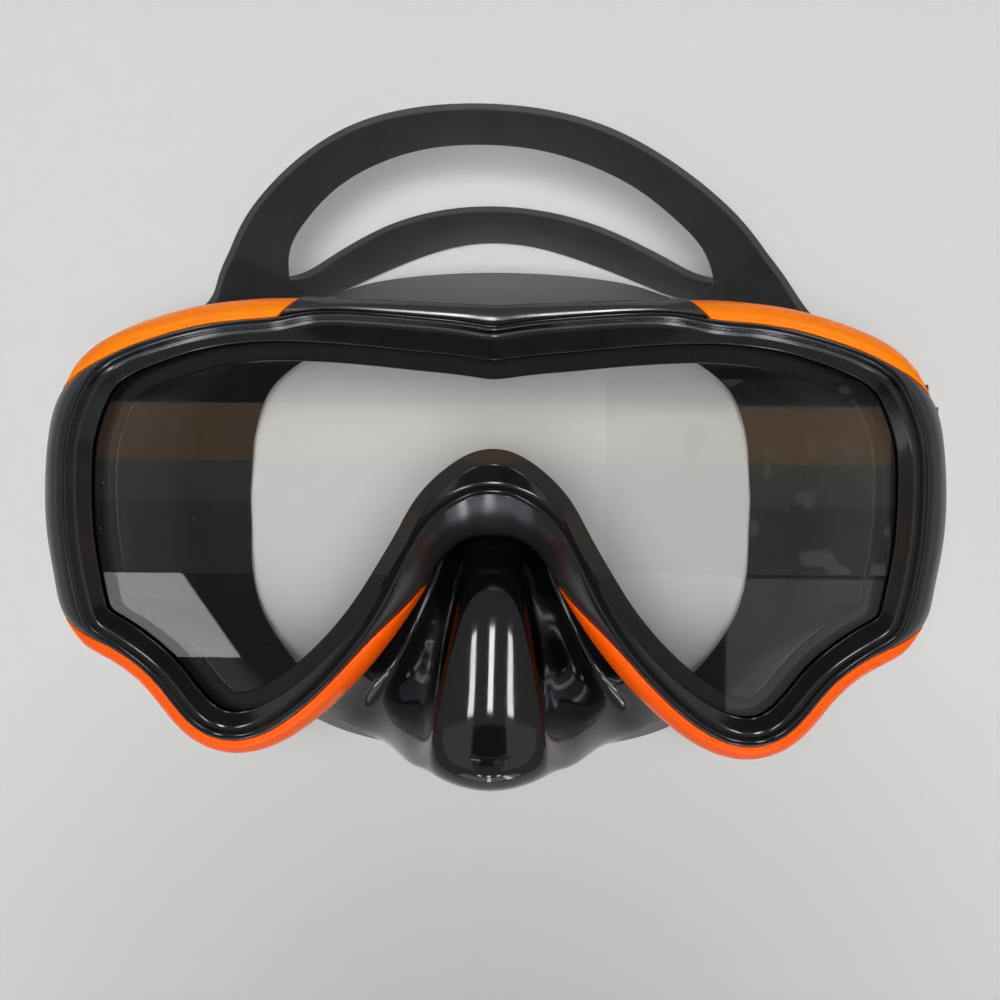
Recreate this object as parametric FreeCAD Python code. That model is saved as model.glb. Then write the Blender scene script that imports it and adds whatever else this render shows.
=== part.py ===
"""Diving mask: one flat window in a two-piece frame, a moulded silicone skirt with a nose pocket,
and a split silicone head strap on two swivelling quick-release buckles.

Millimetres. The mask lies on its face seal, window up: +X is its right-hand side as drawn, +Y points
to the forehead and +Z out through the window. All shapes are first built with Y measured from the
middle of the window; move_to_origin() puts the middle of the underside at the origin.
"""
import FreeCAD, Part
import math
import os

Vector = FreeCAD.Vector

# ---- driving dimensions --------------------------------------------------------------------------
LENS_BACK = 54.0          # height of the window's rear face above the face-seal plane
LENS_THICKNESS = 4.0
LENS_FRONT = LENS_BACK + LENS_THICKNESS
LENS_UNDER_LIP = 1.6      # how far the glass runs in under the bezel's inner edge
LENS_BEVEL = 0.4

FRAME_BACK = 46.0
FRAME_SPLIT = 50.0        # rear frame below, bezel and trims above
RIM_SEAT = 52.0           # rear frame's step that carries the skirt's rim
BEZEL_RIDGE = 62.0
BEZEL_LIP = 59.6          # inner edge of the bezel, over the glass
RIDGE_SLOPE = 1.6         # from the ridge in to the foot of its steep side
RIDGE_FALL = 1.7          # and down to that foot
FLANK = (0.4, 0.75)       # the bend between shoulder and ridge, as shares of the way in and up
NOSE_FLANK = (0.5, 0.55)
TRIM_TOP = 60.7
BLACK_SHOULDER = 57.0     # where the bezel's rounded front starts on the sides
NOSE_SHOULDER = 55.6      # the same on the nose arch, where the flank is long and flat

RIM_BEYOND_LENS = 0.8     # silicone outside the glass edge
RIM_LIP = 0.6             # silicone between glass and bezel
BEAD = 3.0                # rim bead seen through the glass, inside the bezel's edge
FIT = 0.05                # gap between parts that touch

WALL = 2.0                # skirt wall at the frame
WALL_EDGE = 1.3           # skirt wall at the face
WALL_NOSE = 1.6

STRAP_THICKNESS = 1.7
STRAP_LEAN = [(30.0, 0.0), (40.0, 1.5), (80.0, -5.0)]   # how far the lying strap is pushed sideways, by y
TAIL_HALF_WIDTH = 9.7

PIVOT_Y = -7.0            # axis that both buckles swivel on, parallel to X
PIVOT_Z = 25.0

# Half of the frame's outline, from the middle of the forehead round the side to the nose arch:
# x, y, width to the glass, offset of the highest ridge, width of the outer trim.
OUTLINE = [
    (0.0, 36.5, 10.5, 4.6, 4.3),
    (2.5, 36.62, 10.3, 4.4, 4.1),
    (12.5, 37.1, 9.7, 3.7, 3.4),
    (25.0, 37.6, 9.0, 3.3, 2.9),
    (34.8, 37.9, 8.7, 3.9, 3.3),
    (39.6, 38.0, 8.7, 4.9, 4.2),
    (48.0, 37.5, 8.7, 5.2, 4.5),
    (55.5, 36.4, 8.8, 5.3, 4.5),
    (63.0, 34.4, 9.0, 5.3, 4.5),
    (69.6, 31.9, 9.1, 5.2, 4.4),
    (74.8, 28.9, 9.2, 5.1, 4.0),
    (78.4, 25.2, 9.3, 5.0, 2.8),
    (81.3, 19.5, 9.4, 4.9, 0.0),
    (83.5, 11.8, 9.5, 4.9, 0.0),
    (84.1, 3.0, 9.6, 5.0, 0.0),
    (83.6, -7.0, 9.6, 5.0, 0.0),
    (82.1, -15.4, 9.4, 4.8, 0.0),
    (80.4, -21.6, 9.1, 4.6, 0.0),
    (76.6, -27.5, 8.8, 4.2, 2.6),
    (70.6, -31.1, 8.6, 3.9, 3.1),
    (65.6, -34.9, 8.5, 3.9, 3.2),
    (60.8, -40.5, 8.5, 3.9, 3.2),
    (55.3, -45.6, 8.5, 3.9, 3.2),
    (48.2, -47.8, 8.4, 3.9, 3.2),
    (40.6, -46.3, 8.2, 3.9, 3.2),
    (33.2, -41.6, 7.7, 3.9, 3.2),
    (25.2, -34.0, 7.2, 4.0, 3.3),
    (18.2, -25.2, 7.0, 4.2, 2.4),
    (12.8, -16.6, 7.0, 4.8, 0.3),
    (9.3, -10.8, 7.3, 5.3, 0.0),
    (6.0, -7.8, 9.6, 6.4, 0.0),
    (3.1, -6.7, 12.2, 7.5, 0.0),
    (0.0, -6.5, 13.4, 8.0, 0.0),
]
FULL_TRIM = 2.9           # a trim narrower than this sinks towards the black bezel's shoulder
BROW_END = (4.2, 5.0)     # station numbers of the brow cover's end, on the outline and on the bezel's edge
BROW_CUT_MARGIN = 3.0     # how far the cutting wedge runs past the cover
BROW_CUT_REACH = 30.0
FIRST_NOSE = 29           # first station of the nose arch, where the bezel has its long flank

# The skirt's outer edge on the face, at the same stations: x, y, z.
FACE_EDGE = [
    (0.0, 48.3, 22.0),
    (2.5, 48.28, 21.95),
    (12.5, 48.0, 21.0),
    (23.5, 47.2, 18.5),
    (32.5, 45.6, 15.0),
    (38.0, 44.0, 12.3),
    (43.0, 41.9, 9.9),
    (48.8, 38.6, 7.3),
    (54.2, 34.4, 4.9),
    (58.4, 30.2, 3.2),
    (61.8, 25.4, 1.9),
    (64.3, 20.0, 0.9),
    (66.0, 14.5, 0.2),
    (67.1, 8.0, -0.3),
    (67.5, 1.0, -0.4),
    (67.2, -7.0, -0.4),
    (66.4, -14.5, -0.1),
    (64.9, -21.0, 0.6),
    (62.4, -27.2, 1.6),
    (59.0, -32.6, 2.9),
    (55.2, -37.0, 4.2),
    (51.4, -40.6, 5.6),
    (47.8, -43.4, 7.0),
    (44.8, -45.4, 8.1),
    (42.0, -47.0, 9.1),
    (39.0, -48.3, 10.0),
    (35.4, -49.7, 11.0),
    (30.0, -51.2, 12.0),
    (24.5, -52.1, 13.0),
    (19.0, -52.4, 14.0),
    (13.0, -52.0, 15.0),
    (6.5, -51.6, 15.4),
    (0.0, -51.5, 15.5),
]
# How the wall runs from the frame to that edge: 1 is straight, more is a late outward flare.
WALL_FLARE = [1.9, 1.9, 1.9, 1.85, 1.8, 1.7, 1.6, 1.5, 1.4, 1.3, 1.2, 1.15, 1.1, 1.1, 1.1, 1.1, 1.1,
              1.15, 1.2, 1.25, 1.3, 1.3, 1.3, 1.3, 1.3, 1.3]
# Width of the soft flange that turns in from the edge.
FLANGE_WIDTH = [12.0, 12.0, 12.0, 12.0, 11.5, 11.0, 10.5, 10.0, 9.5, 9.5, 10.0, 10.5, 11.0,
                11.5, 11.5, 11.5, 11.0,
                10.5, 10.0, 9.5, 9.0, 8.5, 8.0, 7.5, 7.0, 7.0, 7.0, 7.0, 7.0, 7.0, 7.0, 7.0, 7.0]

# Columns of the nose pocket, from the cheek to the middle: outer surface, frame to upper lip.
NOSE_COLUMNS = [
    [(26.5, -29.5, 41.0), (25.5, -31.5, 37.0), (25.5, -34.0, 33.5), (26.3, -36.8, 30.5), (27.6, -39.6, 27.5),
     (29.2, -42.3, 24.5), (30.8, -44.6, 21.5), (32.4, -46.6, 18.0), (34.0, -48.3, 14.5)],
    [(18.0, -20.0, 41.0), (16.5, -22.5, 36.5), (16.8, -26.5, 33.5), (18.3, -31.5, 32.0), (20.3, -36.5, 31.0),
     (22.3, -40.8, 29.5), (24.0, -44.2, 27.0), (26.0, -47.2, 23.0), (28.0, -49.4, 18.0)],
    [(12.5, -12.0, 41.5), (11.2, -15.5, 39.2), (11.8, -21.5, 38.6), (13.4, -29.0, 39.6), (15.2, -36.5, 41.6),
     (16.8, -42.4, 42.4), (18.8, -46.8, 39.8), (20.8, -49.4, 33.0), (22.7, -50.7, 24.0)],
    [(8.2, -6.0, 42.4), (7.6, -10.5, 42.6), (8.6, -18.5, 45.8), (10.4, -29.0, 50.6), (11.8, -38.5, 55.2),
     (12.8, -45.4, 57.2), (14.4, -49.4, 54.2), (16.0, -51.2, 45.8), (17.5, -51.6, 32.0)],
    [(5.0, -4.0, 43.2), (5.3, -9.2, 46.6), (6.6, -18.0, 53.4), (8.5, -29.0, 59.4), (10.0, -38.6, 64.3),
     (10.7, -45.0, 66.2), (11.3, -49.4, 61.8), (12.0, -51.4, 51.8), (12.6, -51.8, 35.0)],
    [(2.6, -3.2, 43.5), (3.7, -8.8, 48.4), (4.7, -18.0, 55.8), (6.3, -29.0, 61.8), (7.8, -39.0, 66.6),
     (8.4, -46.2, 69.0), (8.2, -50.8, 65.2), (7.9, -52.5, 54.8), (7.5, -52.4, 36.0)],
    [(0.0, -3.0, 43.6), (0.0, -8.6, 48.8), (0.0, -18.0, 56.5), (0.0, -29.0, 63.0), (0.0, -39.0, 68.5),
     (0.0, -47.0, 71.5), (0.0, -52.2, 68.0), (0.0, -53.7, 56.0), (0.0, -53.0, 36.0)],
]
WALL_ROWS = 10            # rows between the underside of the frame and the face edge

# Strap, from the middle of the crown to the end of its slot: the edges of the two bands.
STRAP_TOP = [(0.0, 79.2, 36.0), (13.5, 78.1, 36.1), (26.0, 74.4, 36.6), (35.8, 68.7, 37.0),
             (44.6, 61.2, 37.4), (50.0, 54.8, 37.6), (53.4, 49.2, 37.5)]
SLOT_TOP = [(0.0, 75.0, 24.0), (12.5, 73.8, 24.2), (24.0, 69.8, 25.0), (32.0, 65.0, 25.6),
            (38.8, 58.8, 25.6), (43.6, 52.4, 24.8), (45.2, 46.6, 22.0)]
SLOT_BOTTOM = [(0.0, 63.5, 11.5), (11.8, 62.4, 11.6), (22.4, 59.3, 12.2), (30.4, 55.2, 13.6),
               (36.5, 51.2, 15.8), (41.4, 47.9, 18.6), (45.2, 46.6, 22.0)]
STRAP_BOTTOM = [(0.0, 58.6, 0.45), (11.0, 57.2, 0.45), (21.0, 53.9, 0.5), (28.5, 50.9, 0.7),
                (34.2, 48.4, 1.3), (38.4, 46.6, 2.3), (42.0, 45.2, 3.6)]
# Tail, from the slot's end to the buckle: top edge, middle, bottom edge.
STRAP_TAIL = [
    ((56.2, 44.4, 37.3), (51.6, 44.0, 22.8), (50.6, 42.2, 7.9)),
    ((58.4, 40.0, 36.9), (57.2, 39.8, 24.0), (57.0, 39.2, 11.5)),
    ((62.4, 36.2, 36.2), (62.4, 36.0, 24.6), (62.4, 35.8, 13.4)),
    ((68.6, 33.4, 35.3), (68.6, 33.4, 24.9), (68.6, 33.4, 14.8)),
]
TAIL_RUN = [(74.6, 31.6), (78.6, 27.6), (80.2, 22.5), (80.4, 17.0), (80.45, 10.0),
            (80.4, 5.0)]   # constant width
TAIL_RETURN = [(86.3, 5.0), (86.3, 10.0), (86.2, 17.0), (85.6, 24.0)]

# Buckle: x runs outwards from the skirt, all on the right-hand side.
LUG_INNER = 75.95
LUG_THICKNESS = 2.0
LUG_OUTER = LUG_INNER + LUG_THICKNESS
LUG_RADIUS = 6.5
LUG_FOOT = 1.2
LUG_FOOT_HALF_LENGTH = 9.0
LUG_FOOT_OUTER = 82.3
PLATE_INNER = LUG_OUTER + 0.25
PLATE_OUTER = PLATE_INNER + 1.1
BUCKLE_HALF_WIDTH = 11.5
BUCKLE_CORNER = 3.5
BUCKLE_START = -14.0
BUCKLE_END = 12.0
SIDE_WALL = 1.6
SIDE_OUTLINE = [(PLATE_OUTER, -13.0), (84.6, -13.0), (87.2, -9.0), (87.2, 5.5), (83.6, 12.0),
                (PLATE_OUTER, 12.0)]
PIN_RADIUS = 2.5
PIN_HEAD_RADIUS = 3.6
PIN_HEAD = 1.0
PIN_FLARE_RADIUS = 3.2
PIN_FLARE = 0.8
RUNNING_GAP = 0.05        # radial clearance of every turning fit
ROLLER_X = 83.35
ROLLER_Y = 2.0
ROLLER_RADIUS = 1.8
ROLLER_RIBS = 12
RIB_DEPTH = 0.2
AXLE_RADIUS = 0.6
TURN_RADIUS = ROLLER_RADIUS + 0.3 + STRAP_THICKNESS / 2
LEVER_X = 83.2
LEVER_Y = -8.2
LEVER_PIN_RADIUS = 0.8
LEVER_HALF_WIDTH = 9.6
LEVER_OUTLINE = [(82.0, -9.4), (81.4, -8.6), (81.3, -3.2), (81.2, -2.0), (81.6, -1.85), (82.5, -2.9),
                 (84.4, -6.2),
                 (86.4, -9.0), (87.4, -15.4), (86.5, -16.6), (85.5, -15.8), (84.7, -11.2), (83.2, -10.4)]
SPRING_WIRE = 0.45
SPRING_RADIUS = 1.3
SPRING_PITCH = 0.7
SPRING_TURNS = 3
KEEPER_START = 15.0
KEEPER_LENGTH = 4.5
KEEPER_WALL = 0.9
KEEPER_INNER = (79.1, 87.5)


# ---- building tools ------------------------------------------------------------------------------
SAME_WAY = 1              # a ruled surface joins two edges start to start


def parameters(points, closed):
    """Chord lengths along a line of points, so that every curve of one skin is spaced the same."""
    loop = points + points[:1] if closed else points
    values = [0.0]
    for start, end in zip(loop, loop[1:]):
        values.append(values[-1] + max((end - start).Length, 0.05))
    return values


def curve_edge(points, closed, spacing):
    """A smooth edge through the points."""
    curve = Part.BSplineCurve()
    if closed:
        curve.interpolate(Points=points, PeriodicFlag=True, Parameters=spacing)
    else:
        curve.interpolate(Points=points, Parameters=spacing)
    return curve.toShape()


def side_faces(sections, closed=False, spacing=None):
    """Ruled faces through matching corners of the sections, one face for each side of the section."""
    corners = len(sections[0])
    if spacing is None:
        spacing = parameters([section[0] for section in sections], closed)
    edges = [curve_edge([section[k] for section in sections], closed, spacing) for k in range(corners)]
    return [Part.makeRuledSurface(edges[k], edges[(k + 1) % corners], SAME_WAY) for k in range(corners)]


def polygon_face(points):
    return Part.Face(Part.makePolygon(points + points[:1]))


def solid_of(faces):
    """One closed solid from faces that meet along their edges."""
    shell = Part.Shell(faces)
    shell.sewShape()
    solid = Part.Solid(shell)
    if solid.Volume < 0:
        solid.reverse()
    return solid


def ring(sections, spacing=None):
    return solid_of(side_faces(sections, True, spacing))


def bar(sections):
    faces = side_faces(sections)
    return solid_of(faces + [polygon_face(sections[0]), polygon_face(sections[-1])])


def prism(outline, start, end):
    """An outline in x, y drawn up from height start to height end."""
    face = polygon_face([Vector(x, y, start) for x, y in outline])
    return face.extrude(Vector(0, 0, end - start))


def block(x0, x1, y0, y1, z0, z1):
    return Part.makeBox(x1 - x0, y1 - y0, z1 - z0, Vector(x0, y0, z0))


def rod_x(radius, x0, x1, y, z):
    return Part.makeCylinder(radius, x1 - x0, Vector(x0, y, z), Vector(1, 0, 0))


def rod_z(radius, x, y, z0, z1):
    return Part.makeCylinder(radius, z1 - z0, Vector(x, y, z0), Vector(0, 0, 1))


def mirrored(shape):
    return shape.mirror(Vector(0, 0, 0), Vector(1, 0, 0))


def whole_loop(half):
    """The half's stations, then their mirror images back to the start, both middles once."""
    return half + half[-2:0:-1]


# ---- stations round the frame --------------------------------------------------------------------
class Outline:
    """The frame's outline as stations with their inward direction, and offsets from it."""

    def __init__(self):
        half = [Vector(row[0], row[1], 0) for row in OUTLINE]
        left = [Vector(-p.x, p.y, 0) for p in half[-2:0:-1]]
        self.points = half + left
        self.count = len(self.points)
        self.spacing = parameters(self.points, True)
        curve = Part.BSplineCurve()
        curve.interpolate(Points=self.points, PeriodicFlag=True, Parameters=self.spacing)
        self.inward = []
        for value in self.spacing[:-1]:
            tangent = curve.tangent(value)[0]
            self.inward.append(Vector(tangent.y, -tangent.x, 0))
        self.glass = whole_loop([row[2] for row in OUTLINE])
        self.ridge = whole_loop([row[3] for row in OUTLINE])
        self.trim = whole_loop([row[4] for row in OUTLINE])

    def at(self, station, offset, height):
        point = self.points[station] + self.inward[station] * offset
        return Vector(point.x, point.y, height)

    def is_nose(self, station):
        return min(station, self.count - station) >= FIRST_NOSE

    def offset_curve(self, offsets):
        """The closed curve at the given offset of each station."""
        curve = Part.BSplineCurve()
        points = [self.at(i, offsets[i], 0) for i in range(self.count)]
        curve.interpolate(Points=points, PeriodicFlag=True, Parameters=self.spacing)
        return curve

    def value_at(self, station):
        """Curve parameter of a station number that may have a fraction."""
        whole = int(math.floor(station))
        part = station - whole
        turn = self.spacing[-1]
        low = self.spacing[whole % self.count]
        high = self.spacing[whole % self.count + 1]
        return (low + (high - low) * part) % turn


outline = Outline()


# ---- frame ---------------------------------------------------------------------------------------
def lens():
    """Flat glass with a small bevel on both faces."""
    def loop(inset, height):
        points = [outline.at(i, outline.glass[i] - LENS_UNDER_LIP + inset, height)
                  for i in range(outline.count)]
        return curve_edge(points, True, outline.spacing)

    loops = [
        loop(LENS_BEVEL, LENS_BACK),
        loop(0, LENS_BACK + LENS_BEVEL),
        loop(0, LENS_FRONT - LENS_BEVEL),
        loop(LENS_BEVEL, LENS_FRONT),
    ]
    faces = [Part.makeRuledSurface(low, high) for low, high in zip(loops, loops[1:])]
    faces.append(Part.Face(Part.Wire(loops[0])))
    faces.append(Part.Face(Part.Wire(loops[-1])))
    return solid_of(faces)


def rim_offset(station):
    """Outer edge of the skirt's rim."""
    return outline.glass[station] - LENS_UNDER_LIP - RIM_BEYOND_LENS


def rear_frame():
    sections = []
    for i in range(outline.count):
        glass = outline.glass[i]
        step = rim_offset(i)
        profile = [
            (0.3, FRAME_BACK + 0.5),
            (0.0, FRAME_BACK + 1.5),
            (0.0, FRAME_SPLIT - FIT),
            (step, FRAME_SPLIT - FIT),
            (step, RIM_SEAT - FIT),
            (glass - 0.3, RIM_SEAT - FIT),
            (glass - 0.3, FRAME_BACK),
            (1.2, FRAME_BACK),
        ]
        sections.append([outline.at(i, offset, height) for offset, height in profile])
    return ring(sections, outline.spacing)


def edge_height(width):
    """Height of the edge between bezel and trim: it drops where the trim runs out to nothing."""
    share = min(1.0, width / FULL_TRIM)
    return BLACK_SHOULDER + (TRIM_TOP - BLACK_SHOULDER) * share


def shoulder_height(station):
    """Height where the bezel's outer wall turns into its rounded front."""
    if outline.is_nose(station):
        return NOSE_SHOULDER
    return edge_height(outline.trim[station])


def front_bezel():
    sections = []
    for i in range(outline.count):
        glass = outline.glass[i]
        ridge = outline.ridge[i]
        outer = outline.trim[i] + FIT if outline.trim[i] else 0.0
        shoulder = shoulder_height(i)
        flank = NOSE_FLANK if outline.is_nose(i) else FLANK
        pocket = rim_offset(i) - FIT
        profile = [
            (outer, FRAME_SPLIT),
            (outer, shoulder),
            (outer + flank[0] * (ridge - outer), shoulder + flank[1] * (BEZEL_RIDGE - shoulder)),
            (ridge, BEZEL_RIDGE),
            (ridge + RIDGE_SLOPE, BEZEL_RIDGE - RIDGE_FALL),
            (glass, BEZEL_LIP),
            (glass - 0.1, LENS_FRONT + RIM_LIP + FIT),
            (pocket, LENS_FRONT + RIM_LIP + FIT),
            (pocket, FRAME_SPLIT),
        ]
        sections.append([outline.at(i, offset, height) for offset, height in profile])
    return ring(sections, outline.spacing)


TRIM_PROFILE = [(0.0, FRAME_SPLIT), (0.0, 54.5), (0.12, 57.2), (0.42, 59.5), (0.75, 60.6),
                (1.0, TRIM_TOP), (1.0, FRAME_SPLIT)]


def trim_section(outer_at, inner_at):
    """Corners of a cover's profile between a place on the outline and one on the bezel's edge."""
    outer = outline.offset_curve([0.0] * outline.count).value(outline.value_at(outer_at))
    inner = outline.offset_curve(outline.trim).value(outline.value_at(inner_at))
    lowered = (edge_height((inner - outer).Length) - FRAME_SPLIT) / (TRIM_TOP - FRAME_SPLIT)
    return [outer + (inner - outer) * part + Vector(0, 0, FRAME_SPLIT + (height - FRAME_SPLIT) * lowered)
            for part, height in TRIM_PROFILE]


def trim(outer_range, inner_range, steps):
    """A cover seated on the rear frame, outside the bezel. The ranges are station numbers."""
    sections = []
    for step in range(steps + 1):
        share = step / steps
        outer_at = outer_range[0] + (outer_range[1] - outer_range[0]) * share
        inner_at = inner_range[0] + (inner_range[1] - inner_range[0]) * share
        sections.append(trim_section(outer_at, inner_at))
    return bar(sections)


def brow_cover():
    """Cover over the forehead, cut at a slant on both ends to meet the upper trims."""
    reach = math.ceil(BROW_END[1]) + 1
    places = [step / 2 for step in range(-2 * reach, 2 * reach + 1)]
    cover = bar([trim_section(place, place) for place in places])
    outer, top, inner = [trim_section(*BROW_END)[corner] for corner in (0, -2, -1)]
    along = (inner - outer).normalize() * BROW_CUT_MARGIN
    low = Vector(0, 0, -BROW_CUT_MARGIN)
    start = outer - along + low
    end = inner + along + low
    outwards = Vector(BROW_CUT_REACH, 0, 0)
    wedge = polygon_face([start, end, end + outwards, start + outwards])
    wedge = wedge.extrude(Vector(0, 0, top.z - FRAME_SPLIT + 2 * BROW_CUT_MARGIN))
    return cover.cut([wedge, mirrored(wedge)])


# ---- skirt ---------------------------------------------------------------------------------------
def skirt_column(station):
    """Outer surface of the skirt at one station of the right-hand half, frame to face edge."""
    glass = outline.glass[station]
    top = outline.at(station, glass - FIT, RIM_SEAT)
    under = outline.at(station, glass, FRAME_BACK - 1.0)
    edge = Vector(*FACE_EDGE[station])
    first_column = len(OUTLINE) - len(NOSE_COLUMNS)
    if station >= first_column:
        middle = [Vector(*point) for point in NOSE_COLUMNS[station - first_column]]
        return [top, under] + middle + [edge]
    column = [top]
    for row in range(WALL_ROWS + 1):
        share = row / WALL_ROWS
        sideways = share ** WALL_FLARE[station]
        point = under + (edge - under) * sideways
        column.append(Vector(point.x, point.y, under.z + (edge.z - under.z) * share))
    return column


def skirt_grid():
    half = [skirt_column(i) for i in range(len(OUTLINE))]
    left = [[Vector(-p.x, p.y, p.z) for p in column] for column in half[-2:0:-1]]
    return half + left


def wall_thickness(row, is_nose):
    share = row / (WALL_ROWS + 1)
    top = WALL_NOSE if is_nose else WALL
    return top + (WALL_EDGE - top) * share


def skirt_sections():
    grid = skirt_grid()
    count = len(grid)
    widths = whole_loop(FLANGE_WIDTH)
    sections = []
    for i, column in enumerate(grid):
        before = grid[i - 1]
        after = grid[(i + 1) % count]
        inner = []
        for row in range(1, len(column) - 1):
            along = after[row] - before[row]
            down = column[row + 1] - column[row - 1]
            normal = down.cross(along)
            normal.normalize()
            is_nose = min(i, count - i) >= len(OUTLINE) - len(NOSE_COLUMNS) + 1
            inner.append(column[row] + normal * wall_thickness(row, is_nose))
        edge = column[-1]
        along = after[-1] - before[-1]
        inwards = Vector(along.y, -along.x, 0)
        inwards.normalize()
        glass = outline.glass[i]
        lens_edge = glass - LENS_UNDER_LIP - FIT
        flange = [
            edge + inwards * (widths[i] * 0.5),
            edge + inwards * widths[i] + Vector(0, 0, 1.8),
            edge + inwards * (widths[i] - 0.1) + Vector(0, 0, 2.5),
            edge + inwards * (widths[i] * 0.5) + Vector(0, 0, 1.6),
        ]
        rim = [
            outline.at(i, glass + WALL, RIM_SEAT - 1.2),
            outline.at(i, glass + BEAD, RIM_SEAT + 0.2),
            outline.at(i, glass + BEAD, LENS_BACK - FIT),
            outline.at(i, lens_edge, LENS_BACK - FIT),
            outline.at(i, lens_edge, LENS_FRONT + FIT),
            outline.at(i, glass - 0.5, LENS_FRONT + FIT),
            outline.at(i, glass - 0.5, LENS_FRONT + RIM_LIP),
            outline.at(i, rim_offset(i), LENS_FRONT + RIM_LIP),
            outline.at(i, rim_offset(i), RIM_SEAT),
        ]
        sections.append(column + flange + inner[::-1] + rim)
    return sections


def skirt():
    """Silicone moulding: rim channel round the glass, wall, nose pocket and face flanges.

    The temple flanges sag a little below the seal plane and are cut flat on it, as they lie flat on
    a table under the mask's own weight.
    """
    moulding = ring(skirt_sections(), outline.spacing)
    below = block(-100, 100, -100, 100, -5, 0)
    return moulding.cut(below)


# ---- strap ---------------------------------------------------------------------------------------
def lean(point):
    """The free strap lies a little askew: the crown to the left, the tails to the right."""
    x, y, z = point
    shift = STRAP_LEAN[0][1]
    for (start, before), (end, after) in zip(STRAP_LEAN, STRAP_LEAN[1:]):
        share = min(1.0, max(0.0, (y - start) / (end - start)))
        shift += (after - before) * share
    return Vector(x + shift, y, z)


def outward_half(top, bottom, tangent):
    """Half the strap's thickness, square to its width and its run."""
    across = bottom - top
    outwards = tangent.cross(across)
    outwards.normalize()
    return outwards * (STRAP_THICKNESS / 2)


def whole_line(half):
    """One edge of a band from the left-hand end of the slot over the crown to the right-hand end."""
    left = [(-x, y, z) for x, y, z in half[:0:-1]]
    return [lean(point) for point in left + half]


def tangents(points):
    found = []
    for i in range(len(points)):
        before = points[max(i - 1, 0)]
        after = points[min(i + 1, len(points) - 1)]
        direction = after - before
        direction.normalize()
        found.append(direction)
    return found


def band(top_half, bottom_half):
    """Sections of one band: outer top, outer bottom, inner bottom, inner top."""
    top = whole_line(top_half)
    bottom = whole_line(bottom_half)
    sections = []
    for high, low, tangent in zip(top, bottom, tangents(top)):
        half = outward_half(high, low, tangent)
        sections.append([high + half, low + half, low - half, high - half])
    return sections


def tail_rows():
    """Top, middle and bottom of the right-hand tail, from just past the slot to its free end."""
    rows = list(STRAP_TAIL)
    run = list(TAIL_RUN)
    for step in range(5):
        angle = math.pi + step * math.pi / 4
        run.append((ROLLER_X + TURN_RADIUS * math.cos(angle), ROLLER_Y + TURN_RADIUS * math.sin(angle)))
    run += TAIL_RETURN
    for x, y in run:
        rows.append(((x, y, PIVOT_Z + TAIL_HALF_WIDTH), (x, y, PIVOT_Z), (x, y, PIVOT_Z - TAIL_HALF_WIDTH)))
    return rows


def tail_sections(side, upper_end, lower_end):
    """Six corners a section: outer top, middle, bottom, then inner bottom, middle, top."""
    rows = [[lean((side * x, y, z)) for x, y, z in row] for row in tail_rows()]
    slot_end = [(upper_end[0] + upper_end[3]) * 0.5, (upper_end[1] + upper_end[2]) * 0.5,
                (lower_end[1] + lower_end[2]) * 0.5]
    along = tangents([slot_end[1]] + [row[1] for row in rows])[1:]
    sections = [[upper_end[0], upper_end[1], lower_end[1], lower_end[2], upper_end[2], upper_end[3]]]
    for row, tangent in zip(rows, along):
        half = outward_half(row[0], row[2], tangent) * side
        sections.append([row[0] + half, row[1] + half, row[2] + half,
                         row[2] - half, row[1] - half, row[0] - half])
    return sections


def strap():
    """Split silicone strap: two bands behind the head, each tail turned round its buckle's roller."""
    upper = band(STRAP_TOP, SLOT_TOP)
    lower = band(SLOT_BOTTOM, STRAP_BOTTOM)
    for end in (0, -1):
        lower[end][0] = upper[end][1]
        lower[end][3] = upper[end][2]
    faces = side_faces(upper) + side_faces(lower)
    for side, end in ((1, -1), (-1, 0)):
        sections = tail_sections(side, upper[end], lower[end])
        faces += side_faces(sections)
        faces.append(polygon_face(sections[-1]))
    return solid_of(faces)


def keeper():
    """Moulded loop round the strap and its free tail."""
    inner_low, inner_high = KEEPER_INNER
    half = TAIL_HALF_WIDTH + 0.3
    end = KEEPER_START + KEEPER_LENGTH
    outer = block(inner_low - KEEPER_WALL, inner_high + KEEPER_WALL, KEEPER_START, end,
                  PIVOT_Z - half - KEEPER_WALL, PIVOT_Z + half + KEEPER_WALL)
    long_edges = [edge for edge in outer.Edges if abs(edge.tangentAt(edge.FirstParameter).y) > 0.9]
    outer = outer.makeFillet(1.2, long_edges)
    hole = block(inner_low, inner_high, KEEPER_START - 1, end + 1, PIVOT_Z - half, PIVOT_Z + half)
    return outer.cut(hole)


# ---- buckle --------------------------------------------------------------------------------------
def buckle_lug():
    """Bracket under the rear frame that holds the pivot pin."""
    eye = rod_x(LUG_RADIUS, LUG_INNER, LUG_OUTER, PIVOT_Y, PIVOT_Z)
    foot_underside = FRAME_BACK - LUG_FOOT
    neck_points = [
        Vector(LUG_INNER, PIVOT_Y - LUG_RADIUS, PIVOT_Z),
        Vector(LUG_INNER, PIVOT_Y + LUG_RADIUS, PIVOT_Z),
        Vector(LUG_INNER, PIVOT_Y + LUG_FOOT_HALF_LENGTH, foot_underside),
        Vector(LUG_INNER, PIVOT_Y - LUG_FOOT_HALF_LENGTH, foot_underside),
    ]
    neck = polygon_face(neck_points).extrude(Vector(LUG_THICKNESS, 0, 0))
    foot = block(LUG_INNER + 0.25, LUG_FOOT_OUTER, PIVOT_Y - LUG_FOOT_HALF_LENGTH,
                 PIVOT_Y + LUG_FOOT_HALF_LENGTH, foot_underside, FRAME_BACK)
    hole = rod_x(PIN_RADIUS, LUG_INNER - 1, LUG_OUTER + 1, PIVOT_Y, PIVOT_Z)
    return eye.fuse([neck, foot]).removeSplitter().cut(hole)


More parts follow.
